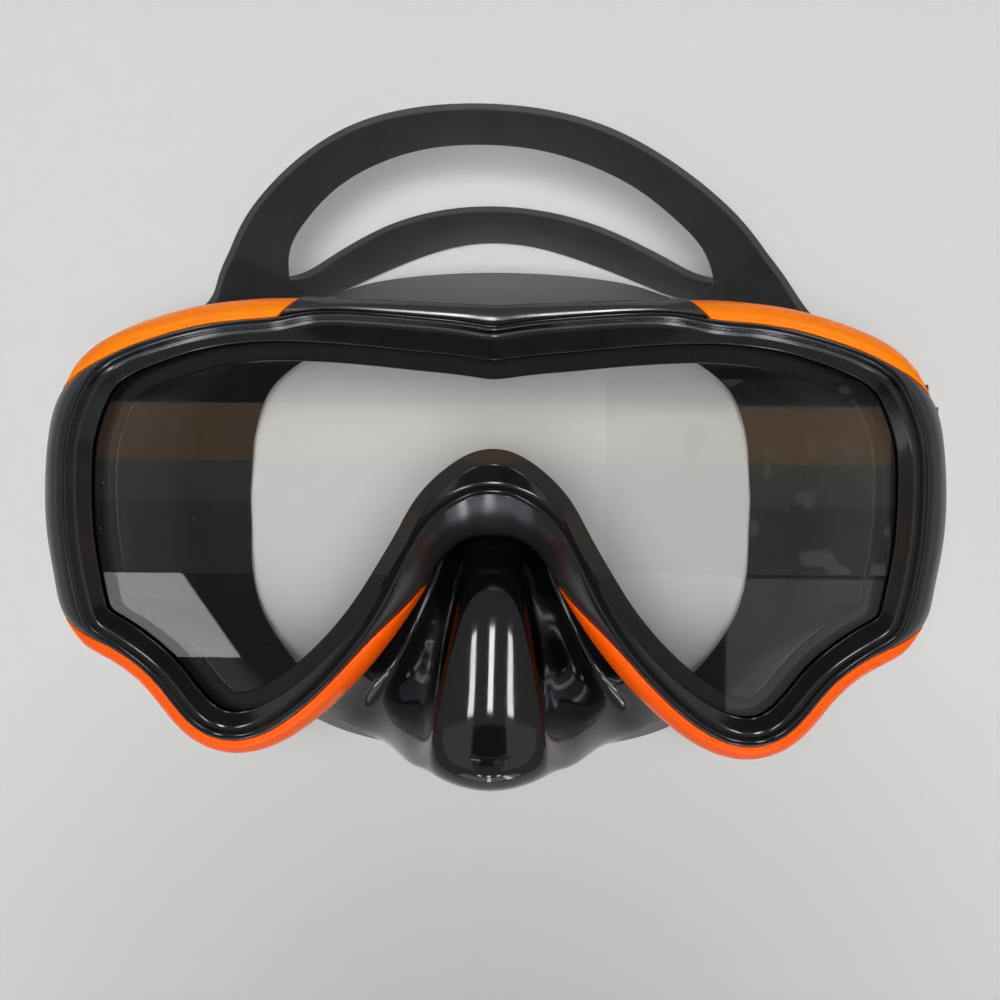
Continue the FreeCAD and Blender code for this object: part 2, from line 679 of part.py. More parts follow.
def pivot_pin():
    """Flanged pin, riveted over inside the lug."""
    head_start = PLATE_OUTER + RUNNING_GAP
    shaft = rod_x(PIN_RADIUS, LUG_INNER, head_start, PIVOT_Y, PIVOT_Z)
    head = rod_x(PIN_HEAD_RADIUS, head_start, head_start + PIN_HEAD, PIVOT_Y, PIVOT_Z)
    rim = [edge for edge in head.Edges if edge.Closed and edge.CenterOfMass.x > head_start + 0.5]
    head = head.makeFillet(0.4, rim)
    flare = rod_x(PIN_FLARE_RADIUS, LUG_INNER - PIN_FLARE, LUG_INNER, PIVOT_Y, PIVOT_Z)
    return shaft.fuse([head, flare])


def buckle_body():
    """Tray: a plate that turns on the pivot pin and two side walls for the roller and the lever."""
    low = PIVOT_Z - BUCKLE_HALF_WIDTH
    high = PIVOT_Z + BUCKLE_HALF_WIDTH
    plate = block(PLATE_INNER, PLATE_OUTER, BUCKLE_START, BUCKLE_END, low, high)
    corners = [edge for edge in plate.Edges
               if abs(edge.tangentAt(edge.FirstParameter).x) > 0.9 and edge.CenterOfMass.y < 0]
    plate = plate.makeFillet(BUCKLE_CORNER, corners)
    walls = [prism(SIDE_OUTLINE, low, low + SIDE_WALL), prism(SIDE_OUTLINE, high - SIDE_WALL, high)]
    trimmed = block(PLATE_INNER, SIDE_OUTLINE[2][0], BUCKLE_START, BUCKLE_END, low, high)
    corners = [edge for edge in trimmed.Edges
               if abs(edge.tangentAt(edge.FirstParameter).x) > 0.9 and edge.CenterOfMass.y < 0]
    walls = [wall.common(trimmed.makeFillet(BUCKLE_CORNER, corners)) for wall in walls]
    body = plate.fuse(walls).removeSplitter()
    holes = [
        rod_x(PIN_RADIUS + RUNNING_GAP, PLATE_INNER - 1, PLATE_OUTER + 1, PIVOT_Y, PIVOT_Z),
        rod_z(AXLE_RADIUS, ROLLER_X, ROLLER_Y, low - 1, high + 1),
        rod_z(LEVER_PIN_RADIUS, LEVER_X, LEVER_Y, low - 1, high + 1),
    ]
    return body.cut(holes)


def roller():
    """Ribbed roller that the strap's tail turns round."""
    points = []
    for i in range(2 * ROLLER_RIBS):
        radius = ROLLER_RADIUS if i % 2 else ROLLER_RADIUS - RIB_DEPTH
        angle = math.pi * i / ROLLER_RIBS
        points.append((ROLLER_X + radius * math.cos(angle), ROLLER_Y + radius * math.sin(angle)))
    half = TAIL_HALF_WIDTH
    body = prism(points, PIVOT_Z - half, PIVOT_Z + half)
    bore = rod_z(AXLE_RADIUS + RUNNING_GAP, ROLLER_X, ROLLER_Y, PIVOT_Z - half - 1, PIVOT_Z + half + 1)
    return body.cut(bore)


def roller_axle():
    return rod_z(AXLE_RADIUS, ROLLER_X, ROLLER_Y, PIVOT_Z - BUCKLE_HALF_WIDTH, PIVOT_Z + BUCKLE_HALF_WIDTH)


def lever_pin():
    return rod_z(LEVER_PIN_RADIUS, LEVER_X, LEVER_Y, PIVOT_Z - BUCKLE_HALF_WIDTH, PIVOT_Z + BUCKLE_HALF_WIDTH)


def release_lever():
    """Rocking lever: its tooth locks the strap at the roller, its tab lifts outwards to let go."""
    body = prism(LEVER_OUTLINE, PIVOT_Z - LEVER_HALF_WIDTH, PIVOT_Z + LEVER_HALF_WIDTH)
    bore = rod_z(LEVER_PIN_RADIUS + RUNNING_GAP, LEVER_X, LEVER_Y, PIVOT_Z - 20, PIVOT_Z + 20)
    spring_room = rod_z(SPRING_RADIUS + 0.7, LEVER_X, LEVER_Y, PIVOT_Z - 2, PIVOT_Z + 2)
    leg_room = block(80.0, LEVER_X + 0.6, LEVER_Y, -4.2, PIVOT_Z - 2, PIVOT_Z + 2)
    foot_room = block(80.0, LEVER_X, LEVER_Y - 3, LEVER_Y, PIVOT_Z - 2, PIVOT_Z + 2)
    return body.cut([bore, spring_room, leg_room, foot_room])


def lever_spring():
    """Torsion spring round the lever's pin, one leg on the pivot pin's head, one under the tooth."""
    steps = 12
    height = PIVOT_Z - SPRING_PITCH * SPRING_TURNS / 2
    path = [Vector(80.75, -10.7, height), Vector(81.45, -9.6, height)]
    for i in range(steps * SPRING_TURNS + 1):
        angle = math.pi - 2 * math.pi * i / steps
        rise = SPRING_PITCH * i / steps
        path.append(Vector(LEVER_X + SPRING_RADIUS * math.cos(angle),
                           LEVER_Y + SPRING_RADIUS * math.sin(angle), height + rise))
    end = path[-1].z
    path += [Vector(82.0, -6.6, end), Vector(82.2, -4.6, end)]
    sections = []
    half = SPRING_WIRE / 2
    up = Vector(0, 0, half)
    for point, tangent in zip(path, tangents(path)):
        side = tangent.cross(Vector(0, 0, 1))
        side.normalize()
        side = side * half
        sections.append([point + side + up, point - side + up, point - side - up, point + side - up])
    return bar(sections)


# ---- assembly ------------------------------------------------------------------------------------
def build():
    """Every piece by its node name."""
    pieces = {
        "lens": lens(),
        "skirt": skirt(),
        "rear_frame": rear_frame(),
        "front_bezel": front_bezel(),
        "brow_cover": brow_cover(),
        "trim_upper_right": trim((4.25, 11.85), (5.05, 11.8), 20),
        "trim_lower_right": trim((17.15, 28.1), (17.2, 28.0), 30),
        "strap": strap(),
    }
    pieces["trim_upper_left"] = mirrored(pieces["trim_upper_right"])
    pieces["trim_lower_left"] = mirrored(pieces["trim_lower_right"])
    handed = {
        "buckle_lug": buckle_lug,
        "pivot_pin": pivot_pin,
        "buckle_body": buckle_body,
        "roller": roller,
        "roller_axle": roller_axle,
        "release_lever": release_lever,
        "lever_pin": lever_pin,
        "lever_spring": lever_spring,
        "strap_keeper": keeper,
    }
    for name, make in handed.items():
        shape = make()
        pieces["right_" + name] = shape
        pieces["left_" + name] = mirrored(shape)
    return pieces


def move_to_origin(pieces):
    """Puts the middle of the whole mask's underside at the origin. Returns the shift."""
    box = FreeCAD.BoundBox()
    for shape in pieces.values():
        box.add(shape.optimalBoundingBox(True, False))
    shift = Vector(-(box.XMin + box.XMax) / 2, -(box.YMin + box.YMax) / 2, -box.ZMin)
    for shape in pieces.values():
        shape.translate(shift)
    print("size", round(box.XLength, 2), round(box.YLength, 2), round(box.ZLength, 2))
    return shift


def write(pieces):
    os.makedirs("parts", exist_ok=True)
    for name, shape in pieces.items():
        if not shape.isValid():
            print("not valid:", name)
        shape.exportStep("parts/" + name + ".step")


parts = build()
SHIFT = move_to_origin(parts)
print("shift", SHIFT)
for node, solid in sorted(parts.items()):
    print(node, solid.ShapeType, len(solid.Solids), round(solid.Volume, 1))
write(parts)
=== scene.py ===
import bmesh
import bpy
import math
import numpy as np
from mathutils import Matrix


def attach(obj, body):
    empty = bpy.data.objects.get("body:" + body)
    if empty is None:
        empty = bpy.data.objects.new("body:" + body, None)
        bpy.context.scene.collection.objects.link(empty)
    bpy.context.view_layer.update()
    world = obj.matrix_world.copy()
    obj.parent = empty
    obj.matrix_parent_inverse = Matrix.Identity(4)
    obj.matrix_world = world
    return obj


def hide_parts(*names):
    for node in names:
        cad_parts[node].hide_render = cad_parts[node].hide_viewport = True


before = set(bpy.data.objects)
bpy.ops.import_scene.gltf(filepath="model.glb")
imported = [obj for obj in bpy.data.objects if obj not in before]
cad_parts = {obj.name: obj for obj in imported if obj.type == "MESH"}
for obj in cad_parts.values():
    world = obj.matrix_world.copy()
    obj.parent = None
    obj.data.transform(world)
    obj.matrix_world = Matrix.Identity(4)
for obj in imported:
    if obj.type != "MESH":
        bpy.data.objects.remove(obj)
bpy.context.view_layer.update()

MM = 0.001
SHIFT = np.array([0.0, -13.151, 0.0])     # from the drawing's zero to the shared frame, mm

# ---- dimensions in mm, the same as the CAD model's -----------------------------------------------
LENS_BACK = 54.0
LENS_FRONT = 58.0
LENS_UNDER_LIP = 1.6
FRAME_BACK = 46.0
FRAME_SPLIT = 50.0
RIM_SEAT = 52.0
BEZEL_RIDGE = 62.0
BEZEL_LIP = 59.6
RIDGE_SLOPE = 1.6
RIDGE_FALL = 1.7
FULL_TRIM = 2.9
FLANK = (0.4, 0.75)
NOSE_FLANK = (0.5, 0.55)
TRIM_TOP = 60.7
BLACK_SHOULDER = 57.0
NOSE_SHOULDER = 55.6
RIM_BEYOND_LENS = 0.8
RIM_LIP = 0.6
BEAD = 3.0
FIT = 0.05
WALL = 2.0
WALL_EDGE = 1.3
WALL_NOSE = 1.6
WALL_ROWS = 10
STRAP_THICKNESS = 1.7
STRAP_LEAN = ([30.0, 40.0, 80.0], [0.0, 1.5, -5.0])   # sideways push of the lying strap, by y
TAIL_HALF_WIDTH = 9.7
PIVOT_Z = 25.0
FIRST_NOSE = 29
ROLLER_X = 83.35
ROLLER_Y = 2.0
TURN_RADIUS = 2.95
LAND = 0.5                # flat top of the bezel's ridge

# Half of the frame's outline, from the middle of the forehead round the side to the nose arch:
# x, y, width to the glass, offset of the highest ridge, width of the outer trim.
OUTLINE = [
    (0.0, 36.5, 10.5, 4.6, 4.3),
    (2.5, 36.62, 10.3, 4.4, 4.1),
    (12.5, 37.1, 9.7, 3.7, 3.4),
    (25.0, 37.6, 9.0, 3.3, 2.9),
    (34.8, 37.9, 8.7, 3.9, 3.3),
    (39.6, 38.0, 8.7, 4.9, 4.2),
    (48.0, 37.5, 8.7, 5.2, 4.5),
    (55.5, 36.4, 8.8, 5.3, 4.5),
    (63.0, 34.4, 9.0, 5.3, 4.5),
    (69.6, 31.9, 9.1, 5.2, 4.4),
    (74.8, 28.9, 9.2, 5.1, 4.0),
    (78.4, 25.2, 9.3, 5.0, 2.8),
    (81.3, 19.5, 9.4, 4.9, 0.0),
    (83.5, 11.8, 9.5, 4.9, 0.0),
    (84.1, 3.0, 9.6, 5.0, 0.0),
    (83.6, -7.0, 9.6, 5.0, 0.0),
    (82.1, -15.4, 9.4, 4.8, 0.0),
    (80.4, -21.6, 9.1, 4.6, 0.0),
    (76.6, -27.5, 8.8, 4.2, 2.6),
    (70.6, -31.1, 8.6, 3.9, 3.1),
    (65.6, -34.9, 8.5, 3.9, 3.2),
    (60.8, -40.5, 8.5, 3.9, 3.2),
    (55.3, -45.6, 8.5, 3.9, 3.2),
    (48.2, -47.8, 8.4, 3.9, 3.2),
    (40.6, -46.3, 8.2, 3.9, 3.2),
    (33.2, -41.6, 7.7, 3.9, 3.2),
    (25.2, -34.0, 7.2, 4.0, 3.3),
    (18.2, -25.2, 7.0, 4.2, 2.4),
    (12.8, -16.6, 7.0, 4.8, 0.3),
    (9.3, -10.8, 7.3, 5.3, 0.0),
    (6.0, -7.8, 9.6, 6.4, 0.0),
    (3.1, -6.7, 12.2, 7.5, 0.0),
    (0.0, -6.5, 13.4, 8.0, 0.0),
]
# The face seal's edge at the same stations: x, y, height.
FACE_EDGE = [
    (0.0, 48.3, 22.0),
    (2.5, 48.28, 21.95),
    (12.5, 48.0, 21.0),
    (23.5, 47.2, 18.5),
    (32.5, 45.6, 15.0),
    (38.0, 44.0, 12.3),
    (43.0, 41.9, 9.9),
    (48.8, 38.6, 7.3),
    (54.2, 34.4, 4.9),
    (58.4, 30.2, 3.2),
    (61.8, 25.4, 1.9),
    (64.3, 20.0, 0.9),
    (66.0, 14.5, 0.2),
    (67.1, 8.0, -0.3),
    (67.5, 1.0, -0.4),
    (67.2, -7.0, -0.4),
    (66.4, -14.5, -0.1),
    (64.9, -21.0, 0.6),
    (62.4, -27.2, 1.6),
    (59.0, -32.6, 2.9),
    (55.2, -37.0, 4.2),
    (51.4, -40.6, 5.6),
    (47.8, -43.4, 7.0),
    (44.8, -45.4, 8.1),
    (42.0, -47.0, 9.1),
    (39.0, -48.3, 10.0),
    (35.4, -49.7, 11.0),
    (30.0, -51.2, 12.0),
    (24.5, -52.1, 13.0),
    (19.0, -52.4, 14.0),
    (13.0, -52.0, 15.0),
    (6.5, -51.6, 15.4),
    (0.0, -51.5, 15.5),
]
# How late the wall flares out on its way down, and how wide the face flange is, station by station.
WALL_FLARE = [1.9, 1.9, 1.9, 1.85, 1.8, 1.7, 1.6, 1.5, 1.4, 1.3, 1.2, 1.15, 1.1, 1.1, 1.1, 1.1, 1.1,
              1.15, 1.2, 1.25, 1.3, 1.3, 1.3, 1.3, 1.3, 1.3]
FLANGE_WIDTH = [12.0, 12.0, 12.0, 12.0, 11.5, 11.0, 10.5, 10.0, 9.5, 9.5, 10.0, 10.5, 11.0, 11.5, 11.5,
                11.5, 11.0, 10.5, 10.0, 9.5, 9.0, 8.5, 8.0, 7.5, 7.0, 7.0, 7.0, 7.0, 7.0, 7.0, 7.0, 7.0, 7.0]
# Columns of the nose pocket, from the cheek to the middle: outer surface, frame to upper lip.
NOSE_COLUMNS = [
    [(26.5, -29.5, 41.0), (25.5, -31.5, 37.0), (25.5, -34.0, 33.5), (26.3, -36.8, 30.5), (27.6, -39.6, 27.5),
     (29.2, -42.3, 24.5), (30.8, -44.6, 21.5), (32.4, -46.6, 18.0), (34.0, -48.3, 14.5)],
    [(18.0, -20.0, 41.0), (16.5, -22.5, 36.5), (16.8, -26.5, 33.5), (18.3, -31.5, 32.0), (20.3, -36.5, 31.0),
     (22.3, -40.8, 29.5), (24.0, -44.2, 27.0), (26.0, -47.2, 23.0), (28.0, -49.4, 18.0)],
    [(12.5, -12.0, 41.5), (11.2, -15.5, 39.2), (11.8, -21.5, 38.6), (13.4, -29.0, 39.6), (15.2, -36.5, 41.6),
     (16.8, -42.4, 42.4), (18.8, -46.8, 39.8), (20.8, -49.4, 33.0), (22.7, -50.7, 24.0)],
    [(8.2, -6.0, 42.4), (7.6, -10.5, 42.6), (8.6, -18.5, 45.8), (10.4, -29.0, 50.6), (11.8, -38.5, 55.2),
     (12.8, -45.4, 57.2), (14.4, -49.4, 54.2), (16.0, -51.2, 45.8), (17.5, -51.6, 32.0)],
    [(5.0, -4.0, 43.2), (5.3, -9.2, 46.6), (6.6, -18.0, 53.4), (8.5, -29.0, 59.4), (10.0, -38.6, 64.3),
     (10.7, -45.0, 66.2), (11.3, -49.4, 61.8), (12.0, -51.4, 51.8), (12.6, -51.8, 35.0)],
    [(2.6, -3.2, 43.5), (3.7, -8.8, 48.4), (4.7, -18.0, 55.8), (6.3, -29.0, 61.8), (7.8, -39.0, 66.6),
     (8.4, -46.2, 69.0), (8.2, -50.8, 65.2), (7.9, -52.5, 54.8), (7.5, -52.4, 36.0)],
    [(0.0, -3.0, 43.6), (0.0, -8.6, 48.8), (0.0, -18.0, 56.5), (0.0, -29.0, 63.0), (0.0, -39.0, 68.5),
     (0.0, -47.0, 71.5), (0.0, -52.2, 68.0), (0.0, -53.7, 56.0), (0.0, -53.0, 36.0)],
]
# Right half of the strap's edges as it lies, and of its tail past the slot: x, y, height.
STRAP_TOP = [(0.0, 79.2, 36.0), (13.5, 78.1, 36.1), (26.0, 74.4, 36.6), (35.8, 68.7, 37.0),
             (44.6, 61.2, 37.4), (50.0, 54.8, 37.6), (53.4, 49.2, 37.5)]
SLOT_TOP = [(0.0, 75.0, 24.0), (12.5, 73.8, 24.2), (24.0, 69.8, 25.0), (32.0, 65.0, 25.6),
            (38.8, 58.8, 25.6), (43.6, 52.4, 24.8), (45.2, 46.6, 22.0)]
SLOT_BOTTOM = [(0.0, 63.5, 11.5), (11.8, 62.4, 11.6), (22.4, 59.3, 12.2), (30.4, 55.2, 13.6),
               (36.5, 51.2, 15.8), (41.4, 47.9, 18.6), (45.2, 46.6, 22.0)]
STRAP_BOTTOM = [(0.0, 58.6, 0.45), (11.0, 57.2, 0.45), (21.0, 53.9, 0.5), (28.5, 50.9, 0.7),
                (34.2, 48.4, 1.3), (38.4, 46.6, 2.3), (42.0, 45.2, 3.6)]
STRAP_TAIL = [
    ((56.2, 44.4, 37.3), (51.6, 44.0, 22.8), (50.6, 42.2, 7.9)),
    ((58.4, 40.0, 36.9), (57.2, 39.8, 24.0), (57.0, 39.2, 11.5)),
    ((62.4, 36.2, 36.2), (62.4, 36.0, 24.6), (62.4, 35.8, 13.4)),
    ((68.6, 33.4, 35.3), (68.6, 33.4, 24.9), (68.6, 33.4, 14.8)),
]
# Way of the tail to the roller and back from it: x, y.
TAIL_RUN = [(74.6, 31.6), (78.6, 27.6), (80.2, 22.5), (80.4, 17.0), (80.45, 10.0), (80.4, 5.0)]
TAIL_RETURN = [(86.3, 5.0), (86.3, 10.0), (86.2, 17.0), (85.6, 24.0)]


# ---- curves and skins ----------------------------------------------------------------------------
def chords(points, closed):
    """Chord lengths along a line of points, starting at 0."""
    loop = np.vstack([points, points[:1]]) if closed else points
    steps = np.maximum(np.linalg.norm(np.diff(loop, axis=0), axis=1), 0.05)
    return np.concatenate([[0.0], np.cumsum(steps)])


class Spline:
    """A smooth cubic through values (count, ...) at the given knots."""

    def __init__(self, values, knots, closed):
        self.shape = values.shape[1:]
        flat = values.reshape(len(values), -1)
        count = len(flat)
        gaps = np.diff(knots)
        matrix = np.zeros((count, count))
        right = np.zeros_like(flat)
        rows = range(count) if closed else range(1, count - 1)
        for i in rows:
            before, after = gaps[i - 1], gaps[i % len(gaps)]
            following = (i + 1) % count
            matrix[i, i - 1] += before
            matrix[i, i] += 2 * (before + after)
            matrix[i, following] += after
            right[i] = 6 * ((flat[following] - flat[i]) / after - (flat[i] - flat[i - 1]) / before)
        if not closed:
            matrix[0, 0] = 1
            matrix[-1, -1] = 1
        bends = np.linalg.solve(matrix, right)
        if closed:
            flat = np.vstack([flat, flat[:1]])
            bends = np.vstack([bends, bends[:1]])
        self.flat, self.bends, self.knots, self.gaps = flat, bends, knots, gaps

    def at(self, places):
        """Values at station numbers that may have fractions."""
        places = np.asarray(places, float)
        low = np.clip(np.floor(places).astype(int), 0, len(self.gaps) - 1)
        share = (places - low)[:, None]
        gap = self.gaps[low][:, None]
        start, end = self.flat[low], self.flat[low + 1]
        bend_start, bend_end = self.bends[low] * gap ** 2 / 6, self.bends[low + 1] * gap ** 2 / 6
        result = (bend_start * (1 - share) ** 3 + bend_end * share ** 3
                  + (start - bend_start) * (1 - share) + (end - bend_end) * share)
        return result.reshape((len(places),) + self.shape)


def stations(count, per_gap, closed):
    """Station numbers with fractions, per_gap steps between one station and the next."""
    steps = count * per_gap if closed else (count - 1) * per_gap + 1
    return np.arange(steps) / per_gap


SMOOTH = 1000.0           # radius that turns a corner into part of one flowing curve
CRISP = 0.1               # radius of a corner that looks sharp


def rounded(loops, radii, steps):
    """Rounds the corners of closed loops (count, corners, 3). A radius is a number or one for each loop."""
    corners = loops.shape[1]
    pieces = []
    for k in range(corners):
        point = loops[:, k]
        before = loops[:, k - 1] - point
        after = loops[:, (k + 1) % corners] - point
        length_before = np.maximum(np.linalg.norm(before, axis=1, keepdims=True), 1e-6)
        length_after = np.maximum(np.linalg.norm(after, axis=1, keepdims=True), 1e-6)
        radius = np.broadcast_to(np.asarray(radii[k], float).reshape(-1, 1), length_before.shape)
        start = point + before / length_before * np.minimum(radius, 0.5 * length_before)
        end = point + after / length_after * np.minimum(radius, 0.5 * length_after)
        for step in range(steps + 1):
            share = step / steps
            pieces.append(start * (1 - share) ** 2 + 2 * point * share * (1 - share) + end * share ** 2)
    return np.stack(pieces, axis=1)


def grid_faces(rows, columns, closed, first=0):
    """Four-sided faces of a grid whose rows are closed loops."""
    faces = []
    for i in range(rows if closed else rows - 1):
        following = (i + 1) % rows
        for k in range(columns):
            after = (k + 1) % columns
            faces.append((first + i * columns + k, first + i * columns + after,
                          first + following * columns + after, first + following * columns + k))
    return faces


def volume_of(points, faces):
    """A number that is negative when the faces point inwards."""
    quads = np.array([f for f in faces if len(f) == 4])
    a, b, c, d = (points[quads[:, n]] for n in range(4))
    return np.einsum("ij,ij->", a, np.cross(b, c)) + np.einsum("ij,ij->", a, np.cross(c, d))


WELD = 0.004 * MM         # points closer than this become one
SPECK = 0.002 * MM        # edges shorter than this go
SHARP = 35.0              # degrees between faces that still shade as one surface
SHARP_GLOSSY = 30.0
SHARP_SOFT = 50.0


def mesh_object(name, grids, material, body, covers, sharp=SHARP, marks=None):
    """One mesh object from grids (points (rows, columns, 3) in mm, closed, (first cap, last cap)).
    marks are named values for every point, such as how frosted its surface is."""
    points, faces = [], []
    first = 0
    for grid, closed, caps in grids:
        rows, columns = grid.shape[:2]
        points.append(grid.reshape(-1, 3))
        faces += grid_faces(rows, columns, closed, first)
        if caps[0]:
            faces.append(tuple(first + k for k in range(columns))[::-1])
        if caps[1]:
            faces.append(tuple(first + (rows - 1) * columns + k for k in range(columns)))
        first += rows * columns
    points = (np.vstack(points) + SHIFT) * MM
    if volume_of(points, faces) < 0:
        faces = [face[::-1] for face in faces]
    mesh = bpy.data.meshes.new(name)
    mesh.from_pydata(points.tolist(), [], faces)
    for mark, values in (marks or {}).items():
        attribute = mesh.attributes.new(mark, "FLOAT", "POINT")
        attribute.data.foreach_set("value", values.reshape(-1).astype(np.float32))
    work = bmesh.new()
    work.from_mesh(mesh)
    bmesh.ops.remove_doubles(work, verts=work.verts, dist=WELD)
    bmesh.ops.dissolve_degenerate(work, dist=SPECK, edges=work.edges)
    work.to_mesh(mesh)
    work.free()
    mesh.polygons.foreach_set("use_smooth", [True] * len(mesh.polygons))
    mesh.set_sharp_from_angle(angle=math.radians(sharp))
    mesh.materials.append(material)
    thing = bpy.data.objects.new(name, mesh)
    bpy.context.collection.objects.link(thing)
    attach(thing, body)
    if covers:
        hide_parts(*covers)
    return thing


# ---- outline -------------------------------------------------------------------------------------
def whole_loop(half):
    """A whole row of values from its right half: both ends lie on the middle line."""
    return half + half[-2:0:-1]


HALF = len(OUTLINE)
RIM = np.array([[row[0], row[1], 0.0] for row in OUTLINE]
               + [[-row[0], row[1], 0.0] for row in OUTLINE[-2:0:-1]])
COUNT = len(RIM)
MIRROR = np.array([-1.0, 1.0, 1.0])
UP = np.array([0.0, 0.0, 1.0])
KNOTS = chords(RIM, True)
GLASS = whole_loop([row[2] for row in OUTLINE])
RIDGE = whole_loop([row[3] for row in OUTLINE])
TRIM = whole_loop([row[4] for row in OUTLINE])


def inward_directions():
    """Flat unit vectors square to the rim, towards the glass."""
    rim = Spline(RIM, KNOTS, True)
    step = 0.001
    places = np.arange(COUNT, dtype=float)
    ahead = rim.at(places + step)
    behind = rim.at((places - step) % COUNT)
    along = ahead - behind
    along /= np.linalg.norm(along, axis=1, keepdims=True)
    return np.stack([along[:, 1], -along[:, 0], np.zeros(COUNT)], axis=1)


INWARD = inward_directions()


def at(station, offset, height):
    """A point so far in from the rim at a station."""
    point = RIM[station] + INWARD[station] * offset
    return [point[0], point[1], height]


def is_nose(station):
    return min(station, COUNT - station) >= FIRST_NOSE


def rim_offset(station):
    return GLASS[station] - LENS_UNDER_LIP - RIM_BEYOND_LENS


def edge_height(width):
    """Height of the edge between bezel and trim: it drops where the trim runs out to nothing."""
    return BLACK_SHOULDER + (TRIM_TOP - BLACK_SHOULDER) * np.minimum(1.0, width / FULL_TRIM)


def closed_skin(sections, radii, per_gap, steps):
    """Points of a ring that runs smoothly through one section for each station."""
    fine = Spline(np.array(sections), KNOTS, True).at(stations(COUNT, per_gap, True))
    return rounded(fine, radii, steps)


# ---- materials -----------------------------------------------------------------------------------
def srgb(*levels):
    """Linear colour from display levels of 0 to 255."""
    shares = [level / 255 for level in levels]
    return tuple(v / 12.92 if v <= 0.04045 else ((v + 0.055) / 1.055) ** 2.4 for v in shares)


FULL_GLOSS = 0.5          # a shader's usual specular level
DULL_GLOSS = 0.12         # specular level of the skirt's inside wall


class Nodes:
    """A material's node tree, with the object's own coordinates."""

    def __init__(self, name):
        self.material = bpy.data.materials.new(name)
        self.material.use_nodes = True
        self.tree = self.material.node_tree
        self.tree.nodes.clear()
        self.output = self.tree.nodes.new("ShaderNodeOutputMaterial")
        self.place = self.tree.nodes.new("ShaderNodeTexCoord").outputs["Object"]

    def node(self, kind, **settings):
        node = self.tree.nodes.new("ShaderNode" + kind)
        for key, value in settings.items():
            setattr(node, key, value)
        return node

    def link(self, source, target):
        self.tree.links.new(source, target)

    def noise(self, scale, detail):
        node = self.node("TexNoise")
        node.inputs["Scale"].default_value = scale
        node.inputs["Detail"].default_value = detail
        self.link(self.place, node.inputs["Vector"])
        return node.outputs["Fac"]

    def remap(self, value, low, high, to_low, to_high):
        node = self.node("MapRange")
        for name, number in (("From Min", low), ("From Max", high), ("To Min", to_low), ("To Max", to_high)):
            node.inputs[name].default_value = number
        self.link(value, node.inputs["Value"])
        return node.outputs["Result"]

    def math(self, operation, first, second):
        node = self.node("Math", operation=operation)
        for socket, value in zip(node.inputs, (first, second)):
            if isinstance(value, (int, float)):
                socket.default_value = value
            else:
                self.link(value, socket)
        return node.outputs[0]

    def mix(self, factor, first, second):
        node = self.node("Mix", data_type="RGBA")
        self.link(factor, node.inputs["Factor"])
        for socket, colour in ((node.inputs[6], first), (node.inputs[7], second)):
            if isinstance(colour, tuple):
                socket.default_value = colour + (1.0,)
            else:
                self.link(colour, socket)
        return node.outputs[2]

    def bump(self, height, distance):
        node = self.node("Bump")
        node.inputs["Distance"].default_value = distance
        node.inputs["Strength"].default_value = 1.0
        self.link(height, node.inputs["Height"])
        return node.outputs["Normal"]

    def principled(self, colour, roughness, normal=None, **values):
        shader = self.node("BsdfPrincipled")
        self.link(colour, shader.inputs["Base Color"])
        self.link(roughness, shader.inputs["Roughness"])
        if normal:
            self.link(normal, shader.inputs["Normal"])
        for name, value in values.items():
            shader.inputs[name.replace("_", " ")].default_value = value
        return shader.outputs["BSDF"]

    def fade_gloss(self, colour, roughness, normal, flag, values):
        """A shader whose gloss is weak where the flag is 1."""
        shader = self.principled(colour, roughness, normal, **values)
        specular = shader.node.inputs["Specular IOR Level"]
        self.link(self.remap(flag, 0.0, 1.0, FULL_GLOSS, DULL_GLOSS), specular)
        return shader

    def change(self, flag, value, other):
        """A value that becomes the other number where the flag is 1."""
        keep = self.math("MULTIPLY", value, self.math("SUBTRACT", 1.0, flag))
        return self.math("ADD", keep, self.math("MULTIPLY", flag, other))

    def finish(self, shader):
        self.link(shader, self.output.inputs["Surface"])
        return self.material


DUST_COLOUR = srgb(170, 168, 165)


def moulded(name, dark, light, smooth, rough, grain_size, grain_depth, dust=0.0, matte_rough=None,
            matte_and_sheen_colour=None, dull_rough=None, **values):
    """Moulded plastic or rubber: colour between two tones, roughness between two values, fine grain,
    sparse dust, a pale matte finish where the mesh's own matte attribute is 1 (its pale tone is partly
    painted sheen), and a dull dark one where its dull attribute is 1."""
    n = Nodes(name)
    colour = n.mix(n.remap(n.noise(90.0, 4.0), 0.35, 0.65, 0.0, 1.0), dark, light)
    roughness = n.remap(n.noise(260.0, 5.0), 0.3, 0.7, smooth, rough)
    if matte_rough is not None:
        flag = n.node("Attribute", attribute_name="matte").outputs["Fac"]
        colour = n.mix(flag, colour, matte_and_sheen_colour)
        roughness = n.change(flag, roughness, matte_rough)
    if dull_rough is not None:
        flag = n.node("Attribute", attribute_name="dull").outputs["Fac"]
        roughness = n.change(flag, roughness, dull_rough)
    if dust:
        specks = n.remap(n.noise(2600.0, 1.0), 0.79, 0.83, 0.0, dust)
        colour = n.mix(specks, colour, DUST_COLOUR)
        roughness = n.math("ADD", roughness, n.math("MULTIPLY", specks, 0.5))
    normal = n.bump(n.noise(1.0 / (grain_size * MM), 4.0), grain_depth * MM)
    if dull_rough is not None:
        return n.finish(n.fade_gloss(colour, roughness, normal, flag, values))
    return n.finish(n.principled(colour, roughness, normal, **values))
